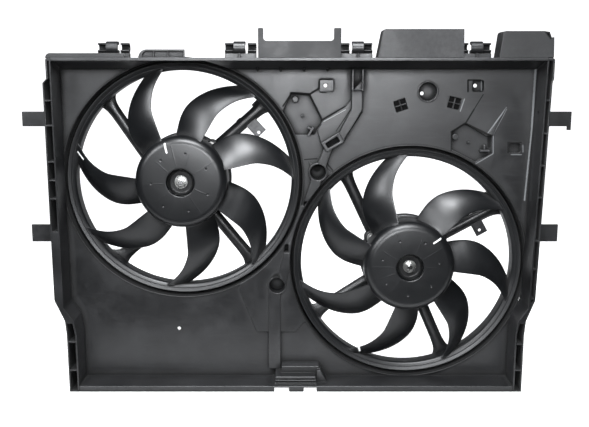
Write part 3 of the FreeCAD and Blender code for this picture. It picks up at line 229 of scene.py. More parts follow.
SETTINGS = {
    "shroud_settings": ShroudSettings,
    "fan_settings": FanSettings,
    "motor_settings": MotorSettings,
    "stage_settings": StageSettings,
}


# ---------------------------------------------------------------- shader groups

def new_group(name, inputs, outputs):
    """An empty shader group with its sockets.  An input is a number, a vector of three or a colour of four, as its
    default is; an output named Color is a colour and any other is a number."""
    tree = bpy.data.node_groups.new(name, "ShaderNodeTree")
    kinds = {1: "NodeSocketFloat", 3: "NodeSocketVector", 4: "NodeSocketColor"}
    for label, default in inputs.items():
        socket = tree.interface.new_socket(name=label, in_out="INPUT", socket_type=kinds[np.size(default)])
        socket.default_value = default
    for label in outputs:
        kind = kinds[4] if label == "Color" else kinds[1]
        tree.interface.new_socket(name=label, in_out="OUTPUT", socket_type=kind)
    return tree, tree.nodes.new("NodeGroupInput"), tree.nodes.new("NodeGroupOutput")


def link(tree, a, b):
    tree.links.new(a, b)


def noise(tree, vector, scale, detail=3.0, roughness=0.55):
    node = tree.nodes.new("ShaderNodeTexNoise")
    link(tree, vector, node.inputs["Vector"])
    if hasattr(scale, "links"):
        link(tree, scale, node.inputs["Scale"])
    else:
        node.inputs["Scale"].default_value = scale
    node.inputs["Detail"].default_value = detail
    node.inputs["Roughness"].default_value = roughness
    return node.outputs["Fac"]


def math_node(tree, operation, a, b, clamp=False):
    """The result of a sum on two numbers or sockets."""
    node = tree.nodes.new("ShaderNodeMath")
    node.operation = operation
    node.use_clamp = clamp
    for value, socket in zip((a, b), node.inputs):
        if isinstance(value, (int, float)):
            socket.default_value = value
        else:
            link(tree, value, socket)
    return node.outputs[0]


def spread(tree, value, low, high, new_low, new_high):
    """Maps a value from one span to another, held at the ends."""
    node = tree.nodes.new("ShaderNodeMapRange")
    link(tree, value, node.inputs["Value"])
    for label, number in (("From Min", low), ("From Max", high), ("To Min", new_low), ("To Max", new_high)):
        if isinstance(number, (int, float)):
            node.inputs[label].default_value = number
        else:
            link(tree, number, node.inputs[label])
    return node.outputs["Result"]


def mix_colour(tree, factor, a, b):
    """Colour a where the factor is 0 and b where it is 1; each is a colour or a socket."""
    node = tree.nodes.new("ShaderNodeMix")
    node.data_type = "RGBA"
    link(tree, factor, node.inputs["Factor"])
    for value, socket in zip((a, b), [item for item in node.inputs if item.type == "RGBA"]):
        if isinstance(value, (tuple, list)):
            socket.default_value = value
        else:
            link(tree, value, socket)
    return [item for item in node.outputs if item.type == "RGBA"][0]


def grain_group():
    """Spark-eroded grain of a mould: fine pits on soft swells, as a height."""
    tree, inside, out = new_group(
        "moulded_grain", {"Vector": ORIGIN, "Scale": 1500.0}, ["Height"])
    fine = noise(tree, inside.outputs["Vector"], inside.outputs["Scale"], 2.0)
    broad_scale = math_node(tree, "MULTIPLY", inside.outputs["Scale"], 0.12)
    broad = noise(tree, inside.outputs["Vector"], broad_scale, 3.0)
    link(tree, math_node(tree, "ADD", fine, math_node(tree, "MULTIPLY", broad, 0.8)), out.inputs["Height"])
    return tree


def marks_group():
    """Rubbed and dusty places on plastic: blotches and faint streaks that change colour and gloss."""
    tree, inside, out = new_group(
        "handling_marks",
        {"Vector": ORIGIN, "Clean": BLACK, "Marked": BLACK, "Amount": 0.5, "Roughness Low": 0.4,
         "Roughness High": 0.6, "Blotches": 14.0},
        ["Color", "Roughness"])
    vector = inside.outputs["Vector"]
    blotch = spread(tree, noise(tree, vector, inside.outputs["Blotches"], 5.0, 0.62), 0.42, 0.72, 0.0, 1.0)
    stretch = tree.nodes.new("ShaderNodeMapping")
    stretch.inputs["Scale"].default_value = (9.0, 9.0, 70.0)
    stretch.inputs["Rotation"].default_value = (0.0, 0.5, 0.0)
    link(tree, vector, stretch.inputs["Vector"])
    streak = spread(tree, noise(tree, stretch.outputs["Vector"], 1.6, 4.0, 0.7), 0.5, 0.75, 0.0, 0.7)
    speck = spread(tree, noise(tree, vector, 420.0, 2.0), 0.60, 0.74, 0.0, 0.55)
    mask = math_node(tree, "MAXIMUM", math_node(tree, "MAXIMUM", blotch, streak), speck)
    mask = math_node(tree, "MULTIPLY", mask, inside.outputs["Amount"], True)
    link(tree, mix_colour(tree, mask, inside.outputs["Clean"], inside.outputs["Marked"]), out.inputs["Color"])
    link(tree, spread(tree, blotch, 0.0, 1.0, inside.outputs["Roughness Low"], inside.outputs["Roughness High"]),
         out.inputs["Roughness"])
    return tree


def edge_group():
    """Painted highlights on edges: where the surface turns sharply outwards the colour goes paler, in patches."""
    tree, inside, out = new_group(
        "worn_edges", {"Color": BLACK, "Edge": EDGE_HIGHLIGHT, "Vector": ORIGIN, "Amount": 0.5}, ["Color"])
    geometry = tree.nodes.new("ShaderNodeNewGeometry")
    rim = spread(tree, geometry.outputs["Pointiness"], 0.53, 0.62, 0.0, 1.0)
    broken = spread(tree, noise(tree, inside.outputs["Vector"], 160.0, 3.0), 0.35, 0.65, 0.25, 1.0)
    mask = math_node(tree, "MULTIPLY", math_node(tree, "MULTIPLY", rim, broken), inside.outputs["Amount"], True)
    link(tree, mix_colour(tree, mask, inside.outputs["Color"], inside.outputs["Edge"]), out.inputs["Color"])
    return tree


def streaks_group():
    """Plating and turning lines: long thin streaks that change colour and gloss of metal."""
    tree, inside, out = new_group(
        "metal_streaks",
        {"Vector": ORIGIN, "Dark": BLACK, "Light": BLACK, "Roughness Low": 0.25, "Roughness High": 0.45},
        ["Color", "Roughness", "Height"])
    stretch = tree.nodes.new("ShaderNodeMapping")
    stretch.inputs["Scale"].default_value = (1.0, 14.0, 1.0)
    link(tree, inside.outputs["Vector"], stretch.inputs["Vector"])
    lines = noise(tree, stretch.outputs["Vector"], 90.0, 4.0, 0.6)
    cloud = noise(tree, inside.outputs["Vector"], 45.0, 4.0, 0.6)
    both = math_node(tree, "ADD", math_node(tree, "MULTIPLY", lines, 0.5), math_node(tree, "MULTIPLY", cloud, 0.5))
    mask = spread(tree, both, 0.35, 0.65, 0.0, 1.0)
    link(tree, mix_colour(tree, mask, inside.outputs["Dark"], inside.outputs["Light"]), out.inputs["Color"])
    link(tree, spread(tree, cloud, 0.3, 0.7, inside.outputs["Roughness Low"], inside.outputs["Roughness High"]),
         out.inputs["Roughness"])
    link(tree, lines, out.inputs["Height"])
    return tree


def cavity_group():
    """Painted shade: colour darkened towards black and gloss dulled in slots and inner corners, found from how closed
    in a place is.
    """
    tree, inside, out = new_group(
        "cavity_dirt", {"Color": BLACK, "Roughness": 0.4, "Distance": 0.012, "Amount": 1.0}, ["Color", "Roughness"])
    openness = tree.nodes.new("ShaderNodeAmbientOcclusion")
    openness.samples = 6
    link(tree, inside.outputs["Distance"], openness.inputs["Distance"])
    closed = spread(tree, openness.outputs["AO"], 0.5, 0.95, 1.0, 0.0)
    mask = math_node(tree, "MULTIPLY", closed, inside.outputs["Amount"], True)
    link(tree, mix_colour(tree, mask, inside.outputs["Color"], BLACK), out.inputs["Color"])
    link(tree, spread(tree, mask, 0.0, 1.0, inside.outputs["Roughness"], 1.0), out.inputs["Roughness"])
    return tree


def stroke_group():
    """A stroke seen from the front: all places within half a width of the line between two ends.  The nearest
    place on the line comes from the dot product, held between both ends."""
    tree, inside, out = new_group(
        "stroke", {"Vector": ORIGIN, "Start": ORIGIN, "End": ORIGIN, "Width": 0.003, "Ragged": 0.0}, ["Mask"])

    def vector_node(operation, a, b):
        node = tree.nodes.new("ShaderNodeVectorMath")
        node.operation = operation
        link(tree, a, node.inputs[0])
        link(tree, b, node.inputs[1])
        return node.outputs["Vector" if operation == "SUBTRACT" else "Value"]

    flat = tree.nodes.new("ShaderNodeVectorMath")
    flat.operation = "MULTIPLY"
    flat.inputs[1].default_value = (1.0, 0.0, 1.0)
    link(tree, inside.outputs["Vector"], flat.inputs[0])
    away = vector_node("SUBTRACT", flat.outputs["Vector"], inside.outputs["Start"])
    line = vector_node("SUBTRACT", inside.outputs["End"], inside.outputs["Start"])
    reach = vector_node("DOT_PRODUCT", away, line)
    along = math_node(tree, "DIVIDE", reach, vector_node("DOT_PRODUCT", line, line), True)
    nearest = tree.nodes.new("ShaderNodeVectorMath")
    nearest.operation = "SCALE"
    link(tree, line, nearest.inputs[0])
    link(tree, along, nearest.inputs["Scale"])
    off = vector_node("DISTANCE", away, nearest.outputs["Vector"])
    edge = math_node(tree, "ADD", off, math_node(tree, "MULTIPLY", inside.outputs["Ragged"], inside.outputs["Width"]))
    inner = math_node(tree, "MULTIPLY", inside.outputs["Width"], 0.4)
    outer = math_node(tree, "MULTIPLY", inside.outputs["Width"], 0.7)
    link(tree, spread(tree, edge, inner, outer, 1.0, 0.0), out.inputs["Mask"])
    return tree


GROUP_MAKERS = {
    "cavity_dirt": cavity_group,
    "stroke": stroke_group,
    "moulded_grain": grain_group,
    "handling_marks": marks_group,
    "worn_edges": edge_group,
    "metal_streaks": streaks_group,
}


def placed_group(tree, name, **values):
    """A group node in a material; its inputs are numbers, colours or other sockets."""
    node = tree.nodes.new("ShaderNodeGroup")
    node.node_tree = bpy.data.node_groups.get(name) or GROUP_MAKERS[name]()
    for label, value in values.items():
        socket = node.inputs[label.replace("_", " ")]
        if hasattr(value, "links"):
            link(tree, value, socket)
        else:
            socket.default_value = value
    return node


# ---------------------------------------------------------------- materials

def start_material(name, **shader_values):
    """A material with its Principled shader and Object coordinates."""
    material = bpy.data.materials.new(name)
    material.use_nodes = True
    tree = material.node_tree
    shader = tree.nodes["Principled BSDF"]
    for label, value in shader_values.items():
        shader.inputs[label.replace("_", " ")].default_value = value
    place = tree.nodes.new("ShaderNodeTexCoord").outputs["Object"]
    return material, tree, shader, place


def bump(tree, shader, height, strength, distance):
    """The height tilts the shader's normal."""
    node = tree.nodes.new("ShaderNodeBump")
    node.inputs["Strength"].default_value = strength
    node.inputs["Distance"].default_value = distance
    link(tree, height, node.inputs["Height"])
    link(tree, node.outputs["Normal"], shader.inputs["Normal"])


def opaque(colour):
    return (colour[0], colour[1], colour[2], 1.0)


def drawn(tree, place, strokes, raggedness):
    """One mask of several strokes, with a broken outline."""
    ragged = math_node(tree, "MULTIPLY", noise(tree, place, 400.0, 2.0), raggedness)
    mask = None
    for x0, z0, x1, z1, width in strokes:
        stroke = placed_group(tree, "stroke", Vector=place, Start=(x0 * MM, 0.0, z0 * MM),
                              End=(x1 * MM, 0.0, z1 * MM), Width=width * MM, Ragged=ragged).outputs["Mask"]
        mask = stroke if mask is None else math_node(tree, "MAXIMUM", mask, stroke)
    return mask


def plastic(name, clean, marked, amount, roughness, grain, grain_depth, highlight_colour, highlight_amount, blotches=14.0,
            paint=(), slot_shade_strokes=(), highlight_strokes=()):
    """Moulded plastic: grain, handling marks, painted highlights on sharp edges, painted shade in closed places,
    and strokes of white paint, of painted shade in slots and of painted highlight lines."""
    material, tree, shader, place = start_material(name)
    marks = placed_group(tree, "handling_marks", Vector=place, Clean=opaque(clean), Marked=opaque(marked),
                         Amount=amount, Roughness_Low=roughness[0], Roughness_High=roughness[1], Blotches=blotches)
    # Painted highlight: paler colour on sharp outward edges.
    edges = placed_group(tree, "worn_edges", Vector=place, Color=marks.outputs["Color"], Edge=opaque(highlight_colour),
                         Amount=highlight_amount)
    # Painted shade: darker and duller in slots and inner corners.
    closed_shade = placed_group(tree, "cavity_dirt", Color=edges.outputs["Color"], Roughness=marks.outputs["Roughness"])
    colour = closed_shade.outputs["Color"]
    gloss = closed_shade.outputs["Roughness"]
    # Painted highlights: pale lines along the panel's bends and edges.
    if highlight_strokes:
        mask = math_node(tree, "MULTIPLY", drawn(tree, place, highlight_strokes, 0.3), 0.7)
        colour = mix_colour(tree, mask, colour, HIGHLIGHT_LINE_COLOUR)
    # Painted shade: black strokes in the slots and deep cups, with full roughness.
    if slot_shade_strokes:
        mask = drawn(tree, place, slot_shade_strokes, 0.15)
        colour = mix_colour(tree, mask, colour, BLACK)
        gloss = spread(tree, mask, 0.0, 1.0, gloss, 1.0)
    if paint:
        colour = mix_colour(tree, drawn(tree, place, paint, 0.25), colour, WHITE_PAINT)
    link(tree, colour, shader.inputs["Base Color"])
    link(tree, gloss, shader.inputs["Roughness"])
    pits = placed_group(tree, "moulded_grain", Vector=place, Scale=grain)
    bump(tree, shader, pits.outputs["Height"], 0.6, grain_depth)
    return material


def metal(name, dark, light, roughness):
    """Plated or machined metal: streaks in colour and gloss, and edges painted brighter as highlights."""
    material, tree, shader, place = start_material(name, Metallic=1.0)
    streaks = placed_group(tree, "metal_streaks", Vector=place, Dark=opaque(dark), Light=opaque(light),
                           Roughness_Low=roughness[0], Roughness_High=roughness[1])
    # Painted highlight: paler colour on sharp outward edges.
    edges = placed_group(tree, "worn_edges", Vector=place, Color=streaks.outputs["Color"], Edge=EDGE_HIGHLIGHT,
                         Amount=0.5)
    link(tree, edges.outputs["Color"], shader.inputs["Base Color"])
    link(tree, streaks.outputs["Roughness"], shader.inputs["Roughness"])
    bump(tree, shader, streaks.outputs["Height"], 0.4, 0.00002)
    return material


def grained_shroud(settings):
    """Grained black plastic of the rails, clips and motor carriers."""
    return plastic("grained_shroud", settings.plastic, settings.dust, 0.7, (0.33, 0.42), 1500.0, 0.00008,
                   (0.08, 0.08, 0.083), 0.6)


def slotted_panel(settings):
    """The same plastic on the panel, with black strokes painted as shade in its slots and cups, and pale lines
    painted as highlights on its bends and edges.
    """
    return plastic("slotted_panel", settings.plastic, settings.dust, 0.8, (0.32, 0.45), 1500.0, 0.0001,
                   (0.08, 0.08, 0.083), 0.7, slot_shade_strokes=PANEL_SLOT_SHADE, highlight_strokes=PANEL_EDGE_HIGHLIGHTS)


def dark_duct(settings):
    """The shroud plastic with its colour cut to 0.4 as painted shade in the ducts round the fans, and duller."""
    clean = [0.4 * c for c in settings.plastic]
    return plastic("dark_duct", clean, settings.plastic, 0.5, (0.5, 0.6), 1500.0, 0.00004, (0.04, 0.04, 0.042), 0.6)


def rubbed_bracket(settings):
    """Blotched plastic of the brackets on the top lip."""
    clean = [0.5 * c for c in settings.plastic]
    marked = [0.7 * c for c in settings.dust]
    return plastic("rubbed_bracket", clean, marked, 1.0, (0.46, 0.75), 1100.0, 0.00008, (0.06, 0.06, 0.062), 0.7,
                   22.0)


def smooth_fan(settings):
    """Smooth black plastic of the fans, with their white paint marks."""
    return plastic("smooth_fan", settings.plastic, (0.008, 0.0085, 0.0095), 0.3, (0.35, 0.41), 2600.0, 0.00002,
                   (0.05, 0.052, 0.055), 0.3, paint=PAINT_STROKES)


def glossy_recess(settings):
    """Polished black plastic of the recess round the shaft."""
    clean = [0.5 * c for c in settings.plastic]
    return plastic("glossy_recess", clean, settings.plastic, 0.5, (0.1, 0.2), 2600.0, 0.00001, (0.02, 0.02, 0.022),
                   0.3)


def material_of(maker, settings):
    """The material with a maker's name, made at its first use."""
    return bpy.data.materials.get(maker.__name__) or maker(settings)


# ---------------------------------------------------------------- surfaces

def grid_piece(name, points, wrap_u=False, wrap_v=True, caps=False):
    """A mesh on a grid of points (u, v, xyz), closed round u or v; caps join the two sides of the v loop at both
    ends."""
    count_u, count_v = points.shape[:2]
    index = np.arange(count_u * count_v).reshape(count_u, count_v)
    rows = index if not wrap_u else np.vstack([index, index[:1]])
    full = rows if not wrap_v else np.hstack([rows, rows[:, :1]])
    faces = np.stack([full[:-1, :-1], full[1:, :-1], full[1:, 1:], full[:-1, 1:]], axis=-1).reshape(-1, 4)
    if caps:
        half = count_v // 2
        a = np.arange(half)
        b = (count_v - a) % count_v
        b_next = (count_v - a - 1) % count_v
        first = np.stack([index[0, a], index[0, (a + 1) % count_v], index[0, b_next], index[0, b]], axis=-1)
        last = np.stack([index[-1, b], index[-1, b_next], index[-1, (a + 1) % count_v], index[-1, a]], axis=-1)
        faces = np.vstack([faces, first, last])
    mesh = bpy.data.meshes.new(name)
    mesh.from_pydata(points.reshape(-1, 3).tolist(), [], faces.tolist())
    mesh.validate()
    return finish_mesh(name, mesh)


def finish_mesh(name, mesh, smooth_angle=40.0):
    """Merges doubles, turns the faces outwards, and shades smooth between edges sharper than an angle."""
    work = bmesh.new()
    work.from_mesh(mesh)
    bmesh.ops.remove_doubles(work, verts=work.verts, dist=1e-7)
    bmesh.ops.dissolve_degenerate(work, edges=work.edges, dist=1e-8)
    bmesh.ops.recalc_face_normals(work, faces=work.faces)
    work.to_mesh(mesh)
    work.free()
    mesh.shade_smooth()
    mesh.set_sharp_from_angle(angle=math.radians(smooth_angle))
    piece = bpy.data.objects.new(name, mesh)
    bpy.context.scene.collection.objects.link(piece)
    return piece


def joined(name, pieces):
    """One piece made of several meshes."""
    work = bmesh.new()
    for piece in pieces:
        work.from_mesh(piece.data)
        bpy.data.objects.remove(piece)
    mesh = bpy.data.meshes.new(name)
    work.to_mesh(mesh)
    work.free()
    return finish_mesh(name, mesh)


def rounded_profile(corners, steps=6):
    """A closed line through (radius, depth, corner radius) corners, each corner an arc of that radius."""
    line = []
    count = len(corners)
    for i, (r, d, radius) in enumerate(corners):
        here = np.array([r, d])
        back = np.array(corners[i - 1][:2]) - here
        ahead = np.array(corners[(i + 1) % count][:2]) - here
        back = back / np.linalg.norm(back)
        ahead = ahead / np.linalg.norm(ahead)
        if radius <= 0.0:
            line.append(here)
            continue
        half = math.acos(max(-1.0, min(1.0, float(back @ ahead)))) / 2
        middle = here + (back + ahead) / np.linalg.norm(back + ahead) * radius / math.sin(half)
        start = here + back * radius / math.tan(half) - middle
        end = here + ahead * radius / math.tan(half) - middle
        swing = math.pi - 2 * half
        t = np.linspace(0.0, 1.0, steps)[:, None]
        arc = (np.sin((1 - t) * swing) * start + np.sin(t * swing) * end) / math.sin(swing)
        line.extend(middle + arc)
    return np.array(line)


def turned_points(profile, centre, count):
    """Points of a surface of revolution: the profile (radius, depth) in mm carried round the fan's axis."""
    angle = np.linspace(0.0, 2 * math.pi, count, endpoint=False)[:, None]
    radius = profile[None, :, 0]
    x = centre[0] + radius * np.cos(angle)
    z = centre[1] + radius * np.sin(angle)
    y = RIM_Y + profile[None, :, 1] + 0 * angle
    return np.stack([x, y, z], axis=-1) * MM


def turned_piece(name, corners, centre, count, steps=6):
    """A rounded section carried round a fan's axis."""
    return grid_piece(name, turned_points(rounded_profile(corners, steps), centre, count), wrap_u=True)


def dress(name, node, body, edge, material, smooth_angle=32.0):
    """A copy of a CAD node with its loose triangles merged and its edges rounded stands for the node."""
    mesh = nodes[node].data.copy()
    mesh.name = name
    work = bmesh.new()
    work.from_mesh(mesh)
    bmesh.ops.remove_doubles(work, verts=work.verts, dist=2e-6)
    work.to_mesh(mesh)
    work.free()
    mesh.shade_smooth()
    mesh.set_sharp_from_angle(angle=math.radians(smooth_angle))
    piece = bpy.data.objects.new(name, mesh)
    bpy.context.scene.collection.objects.link(piece)
    round_edges = piece.modifiers.new("rounded_edges", "BEVEL")
    round_edges.width = edge
    round_edges.segments = 2
    round_edges.limit_method = "ANGLE"
    round_edges.angle_limit = math.radians(smooth_angle)
    round_edges.use_clamp_overlap = False
    round_edges.loop_slide = False
    even_shading = piece.modifiers.new("even_shading", "WEIGHTED_NORMAL")
    even_shading.mode = "FACE_AREA"
    even_shading.weight = 100
    even_shading.keep_sharp = True
    settle(piece, node, body, material)


def settle(piece, node, body, material):
    """The piece stands for a CAD node, rides on its body and gets its material."""
    piece.data.materials.clear()
    piece.data.materials.append(material)
    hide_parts(node)
    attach(piece, body)


def repaint(node, material):
    """A CAD node that keeps its own mesh gets a better material."""
    piece = nodes[node]
    piece.data.materials.clear()
    piece.data.materials.append(material)


# ---------------------------------------------------------------- fan moulding

def between_stations(column, radius):
    """A smooth value between blade stations: cubic Hermite pieces with slopes from the neighbours."""
    x = BLADE_STATIONS[:, 0]
    y = BLADE_STATIONS[:, column]
    slope = np.gradient(y, x)
    i = np.clip(np.searchsorted(x, radius) - 1, 0, len(x) - 2)
    step = x[i + 1] - x[i]
    t = (radius - x[i]) / step
    return ((2 * t**3 - 3 * t**2 + 1) * y[i] + (t**3 - 2 * t**2 + t) * step * slope[i]
            + (-2 * t**3 + 3 * t**2) * y[i + 1] + (t**3 - t**2) * step * slope[i + 1])


def blade_points(centre, start, settings, count_r=64, count_t=48):
    """One blade: at each radius the section runs from the leading to the trailing angle, its depth follows the
    chord less a parabolic camber, and its thickness swells to mid chord, rounds off at both edges and flares
    where it meets the hub and the ring."""
    radius = np.linspace(BLADE_ROOT_R, BLADE_TIP_R, count_r)[:, None]
    t = np.linspace(0.0, 2 * math.pi, count_t, endpoint=False)[None, :]
    s = (1 - np.cos(t)) / 2
    swell = 4 * s * (1 - s)
    lead, trail, lead_depth, trail_depth = (between_stations(k, radius) for k in (1, 2, 3, 4))
    flare = 1.6 * np.exp(-(radius - BLADE_ROOT_R) / 2.2) + 1.2 * np.exp(-(BLADE_TIP_R - radius) / 2.0)
    half = BLADE_EDGE_HALF + (settings.blade_half / MM - BLADE_EDGE_HALF) * swell + flare * np.sqrt(swell)
    side = np.tanh(5.0 * np.sin(t)) / math.tanh(5.0)
    depth = lead_depth + (trail_depth - lead_depth) * s - settings.camber / MM * swell - half * side
    angle = np.radians(start + lead + (trail - lead) * s)
    x = centre[0] + radius * np.cos(angle)
    z = centre[1] + radius * np.sin(angle)
    return np.stack([x, RIM_Y + depth, z], axis=-1) * MM


def make_blades(side, settings, material):
    """Seven blades at uneven steps round the hub."""
    centre = FAN_CENTRES[side]
    singles = []
    for k, start in enumerate(BLADE_STARTS[side] + np.cumsum(BLADE_STEPS)):
        singles.append(grid_piece(f"{side}_blade_{k}", blade_points(centre, start, settings), caps=True))
    piece = joined(f"{side}_swept_blades", singles)
    settle(piece, f"{side}_fan_blades", f"{side}_fan", material)


def hub_points(side, count):
    """The hub's surface of revolution with its face subdivided, a slow dome, small pits and faint ribs.  The dome
    falls back with the square of the radius and fades out down the side, a pit is a smooth bowl round each of seven
    places, and a rib is a low narrow swell along a radius."""
    profile = rounded_profile(HUB_SECTION, 8)
    face = np.flatnonzero((profile[:, 1] < HUB_FACE_DEPTH + 0.01) & (profile[:, 0] > 22.5))
    first, last = face[0], face[-1]
    inner = profile[first, 0]
    outer = profile[last, 0]
    fine = np.stack([np.linspace(inner, outer, 74), np.full(74, HUB_FACE_DEPTH)], axis=-1)
    profile = np.vstack([profile[:first], fine, profile[last + 1:]])
    points = turned_points(profile, (0.0, 0.0), count) / MM
    x, z = points[..., 0], points[..., 2]
    radius = np.hypot(x, z)
    angle = np.degrees(np.arctan2(z, x))
    face_y = RIM_Y + HUB_FACE_DEPTH
    on_face = (points[..., 1] < face_y + 0.6) & (radius > 22.0)
    push = np.zeros_like(x)
    first_pit = BLADE_STARTS[side] - 45.5
    for k in range(7):
        a = math.radians(first_pit + 360.0 / 7 * k)
        away = np.hypot(x - PIT_CIRCLE_R * math.cos(a), z - PIT_CIRCLE_R * math.sin(a))
        push += 0.75 * np.exp(-(away / 1.5) ** 4)
    for k, a in enumerate(RIB_ANGLES):
        off = (angle - a - first_pit + 180.0) % 360.0 - 180.0
        across = np.radians(off) * radius
        on_rib = (np.abs(off) < 20) * (radius > 25) * (radius < 50 + 12 * (k % 2))
        push -= 0.10 * np.exp(-(across / 0.55) ** 2) * on_rib
    dome = 1.7 * (np.clip(radius - 22.5, 0.0, None) / 38.0) ** 2
    outside = (points[..., 1] < face_y + 14.0) & (radius > 22.4)
    inner_skin = (radius < 71.0) & (points[..., 1] > face_y + 1.5 + np.clip(radius - 60.5, 0.0, None) ** 2 / 20.0)
    points[..., 1] += push * on_face + dome * outside * ~inner_skin
    points[..., 0] += FAN_CENTRES[side][0]
    points[..., 2] += FAN_CENTRES[side][1]
    return points * MM


def make_hub(side, material, recess):
    """The hub cup, with a second material inside the recess round the shaft."""
    piece = grid_piece(f"{side}_hub_cup", hub_points(side, 720), wrap_u=True)
    settle(piece, f"{side}_fan_hub", f"{side}_fan", material)
    piece.data.materials.append(recess)
    paint_within(piece.data, FAN_CENTRES[side], RECESS_R)


def paint_within(mesh, centre, radius):
    """Faces whose middle lies within a radius of the fan's axis take the mesh's second material."""
    count = len(mesh.polygons)
    middle = np.empty(count * 3, dtype=np.float32)
    mesh.polygons.foreach_get("center", middle)
    middle = middle.reshape(count, 3) / MM
    inner = np.hypot(middle[:, 0] - centre[0], middle[:, 2] - centre[1]) < radius
    mesh.polygons.foreach_set("material_index", inner.astype(np.int32))
    mesh.update()


def make_ring(side, settings, material):
    """The ring: a bell mouth and a sloping flange with a shallow groove between them, and a returned rim."""
    piece = turned_piece(f"{side}_blade_ring", RING_SECTION, FAN_CENTRES[side], settings.segments, 8)
    settle(piece, f"{side}_fan_ring", f"{side}_fan", material)


def make_collar(side, material, count):
    """The duct round a fan: a thin tube with a rounded front bead and an inward flange behind."""
    piece = turned_piece(f"{side}_fan_duct", DUCT_SECTION, FAN_CENTRES[side], count)
    settle(piece, f"{side}_fan_collar", "shroud", material)


# ---------------------------------------------------------------- motor arms and leads

def at_angle(centre, radius, degrees):
    """The point (x, z) in mm at a radius and an angle about a fan's centre."""
    a = math.radians(degrees)
    return np.array([centre[0] + radius * math.cos(a), centre[1] + radius * math.sin(a)])


def arm_points(centre, duct_deg, ring_deg, count_s=72, count_t=64):
    """One motor arm: it runs straight from the motor ring to the duct.  Its half width is 9.5 mm and grows
    exponentially over the last stretch like a root.  Its front is a crest that falls off to both sides, and its
    rear steps down from the full depth of the arm to a thin web where the root spreads."""
    root = at_angle(centre, ARM_ROOT_R, ring_deg)
    foot = at_angle(centre, ARM_FOOT_R, duct_deg)
    length = float(np.hypot(*(foot - root)))
    along = (foot - root) / length
    across = np.array([-along[1], along[0]])
    s = (np.linspace(0.0, 1.0, count_s)[:, None]) ** 0.7
    left = (1 - s) * length
    t = np.linspace(0.0, 2 * math.pi, count_t, endpoint=False)[None, :]
    flare = np.exp(-left / 7.5)
    half = ARM_HALF + 24.0 * flare
    u = np.sign(np.cos(t)) * np.abs(np.cos(t)) ** 0.75 * half
    part = np.abs(u) / half
    crest = 89.1 + (1 - flare) * 5.2 * part ** 2.4 + flare * 1.2 * part ** 6
    rear = 92.0 + 8.9 * np.exp(-(np.abs(u) / (ARM_HALF + 0.3)) ** 6)
    middle = (crest + rear) / 2
    depth = middle - np.sign(np.sin(t)) * np.minimum(np.abs(np.sin(t)) ** 0.35, 1.0) * (rear - crest) / 2
    x = root[0] + along[0] * s * length + across[0] * u
    z = root[1] + along[1] * s * length + across[1] * u
    return np.stack([x, RIM_Y + depth, z], axis=-1) * MM


def plate_points(centre, side, count=96):
    """The small plate beside an arm: rays from its hole meet the hole's circle inside and a rectangle outside,
    front and back."""
    plate_deg, plate_r = PLATES[side]
    duct_deg = ARMS[side][1][0]
    hole = at_angle(centre, plate_r, plate_deg)
    middle = at_angle(centre, plate_r, (plate_deg + duct_deg) / 2 - 0.6)
    turn = math.radians(duct_deg - 90.0)
    axis = np.array([[math.cos(turn), math.sin(turn)], [-math.sin(turn), math.cos(turn)]])
    t = np.linspace(0.0, 2 * math.pi, count, endpoint=False)
    ray = np.stack([np.cos(t), np.sin(t)], axis=-1)
    local = ray @ axis.T
    start = axis @ (hole - middle)
    with np.errstate(divide="ignore"):
        reach = np.min(np.where(local > 0, (PLATE_HALF - start) / local, (-PLATE_HALF - start) / local), axis=1)
    outer = hole + ray * reach[:, None]
    inner = hole + ray * PLATE_HOLE_R
    front, back = PLATE_DEPTHS
    rings = []
    for ring, depth in ((outer, front), (outer, back), (inner, back), (inner, front)):
        rings.append(np.column_stack([ring[:, 0], np.full(count, RIM_Y + depth), ring[:, 1]]))
    return np.stack(rings, axis=1) * MM


def make_arms(side, material):
    """The motor carrier: a ring round the can, three ears, four rooted arms and the small plate."""
    centre = FAN_CENTRES[side]
    pieces = [turned_piece("carrier_ring", CARRIER_SECTION, centre, 144)]
    for k in range(3):
        ear = tuple(at_angle(centre, EAR_CIRCLE_R, EARS[side] + 120.0 * k))
        pieces.append(turned_piece("carrier_ear", EAR_SECTION, ear, 48))
    for duct_deg, ring_deg in ARMS[side]:
        pieces.append(grid_piece("carrier_arm", arm_points(centre, duct_deg, ring_deg), caps=True))
    pieces.append(grid_piece("carrier_plate", plate_points(centre, side), wrap_u=True))
    piece = joined(f"{side}_rooted_arms", pieces)
    settle(piece, f"{side}_motor_spider", "shroud", material)


# ---------------------------------------------------------------- operators

class FANSHROUD_OT_tray(Operator):
    """Make the shroud's mouldings: tray, rails, brackets, clips, ducts and motor arms"""
    bl_idname = "fanshroud.tray"
    bl_label = "Make shroud"

    def execute(self, context):
        settings = context.scene.shroud_settings
        grained = material_of(grained_shroud, settings)
        panel = material_of(slotted_panel, settings)
        blotched = material_of(rubbed_bracket, settings)
        for name, node, material in (
            ("tray_back", "shroud_panel", panel),
            ("tray_top", "shroud_top_rail", grained),
            ("tray_floor", "shroud_bottom_rail", grained),
            ("tray_left_side", "shroud_left_rail", grained),
            ("tray_right_side", "shroud_right_rail", grained),
            ("eared_bracket", "top_bracket_ears", blotched),
            ("middle_hood", "top_bracket_middle", blotched),
            ("right_hood", "top_bracket_right", blotched),
            ("snap_clips", "pipe_clips", grained),
        ):
            dress(name, node, "shroud", settings.edge, material)
        duct = material_of(dark_duct, settings)
        for side in SIDES:
            make_collar(side, duct, context.scene.fan_settings.segments)
            make_arms(side, grained)
        return {"FINISHED"}


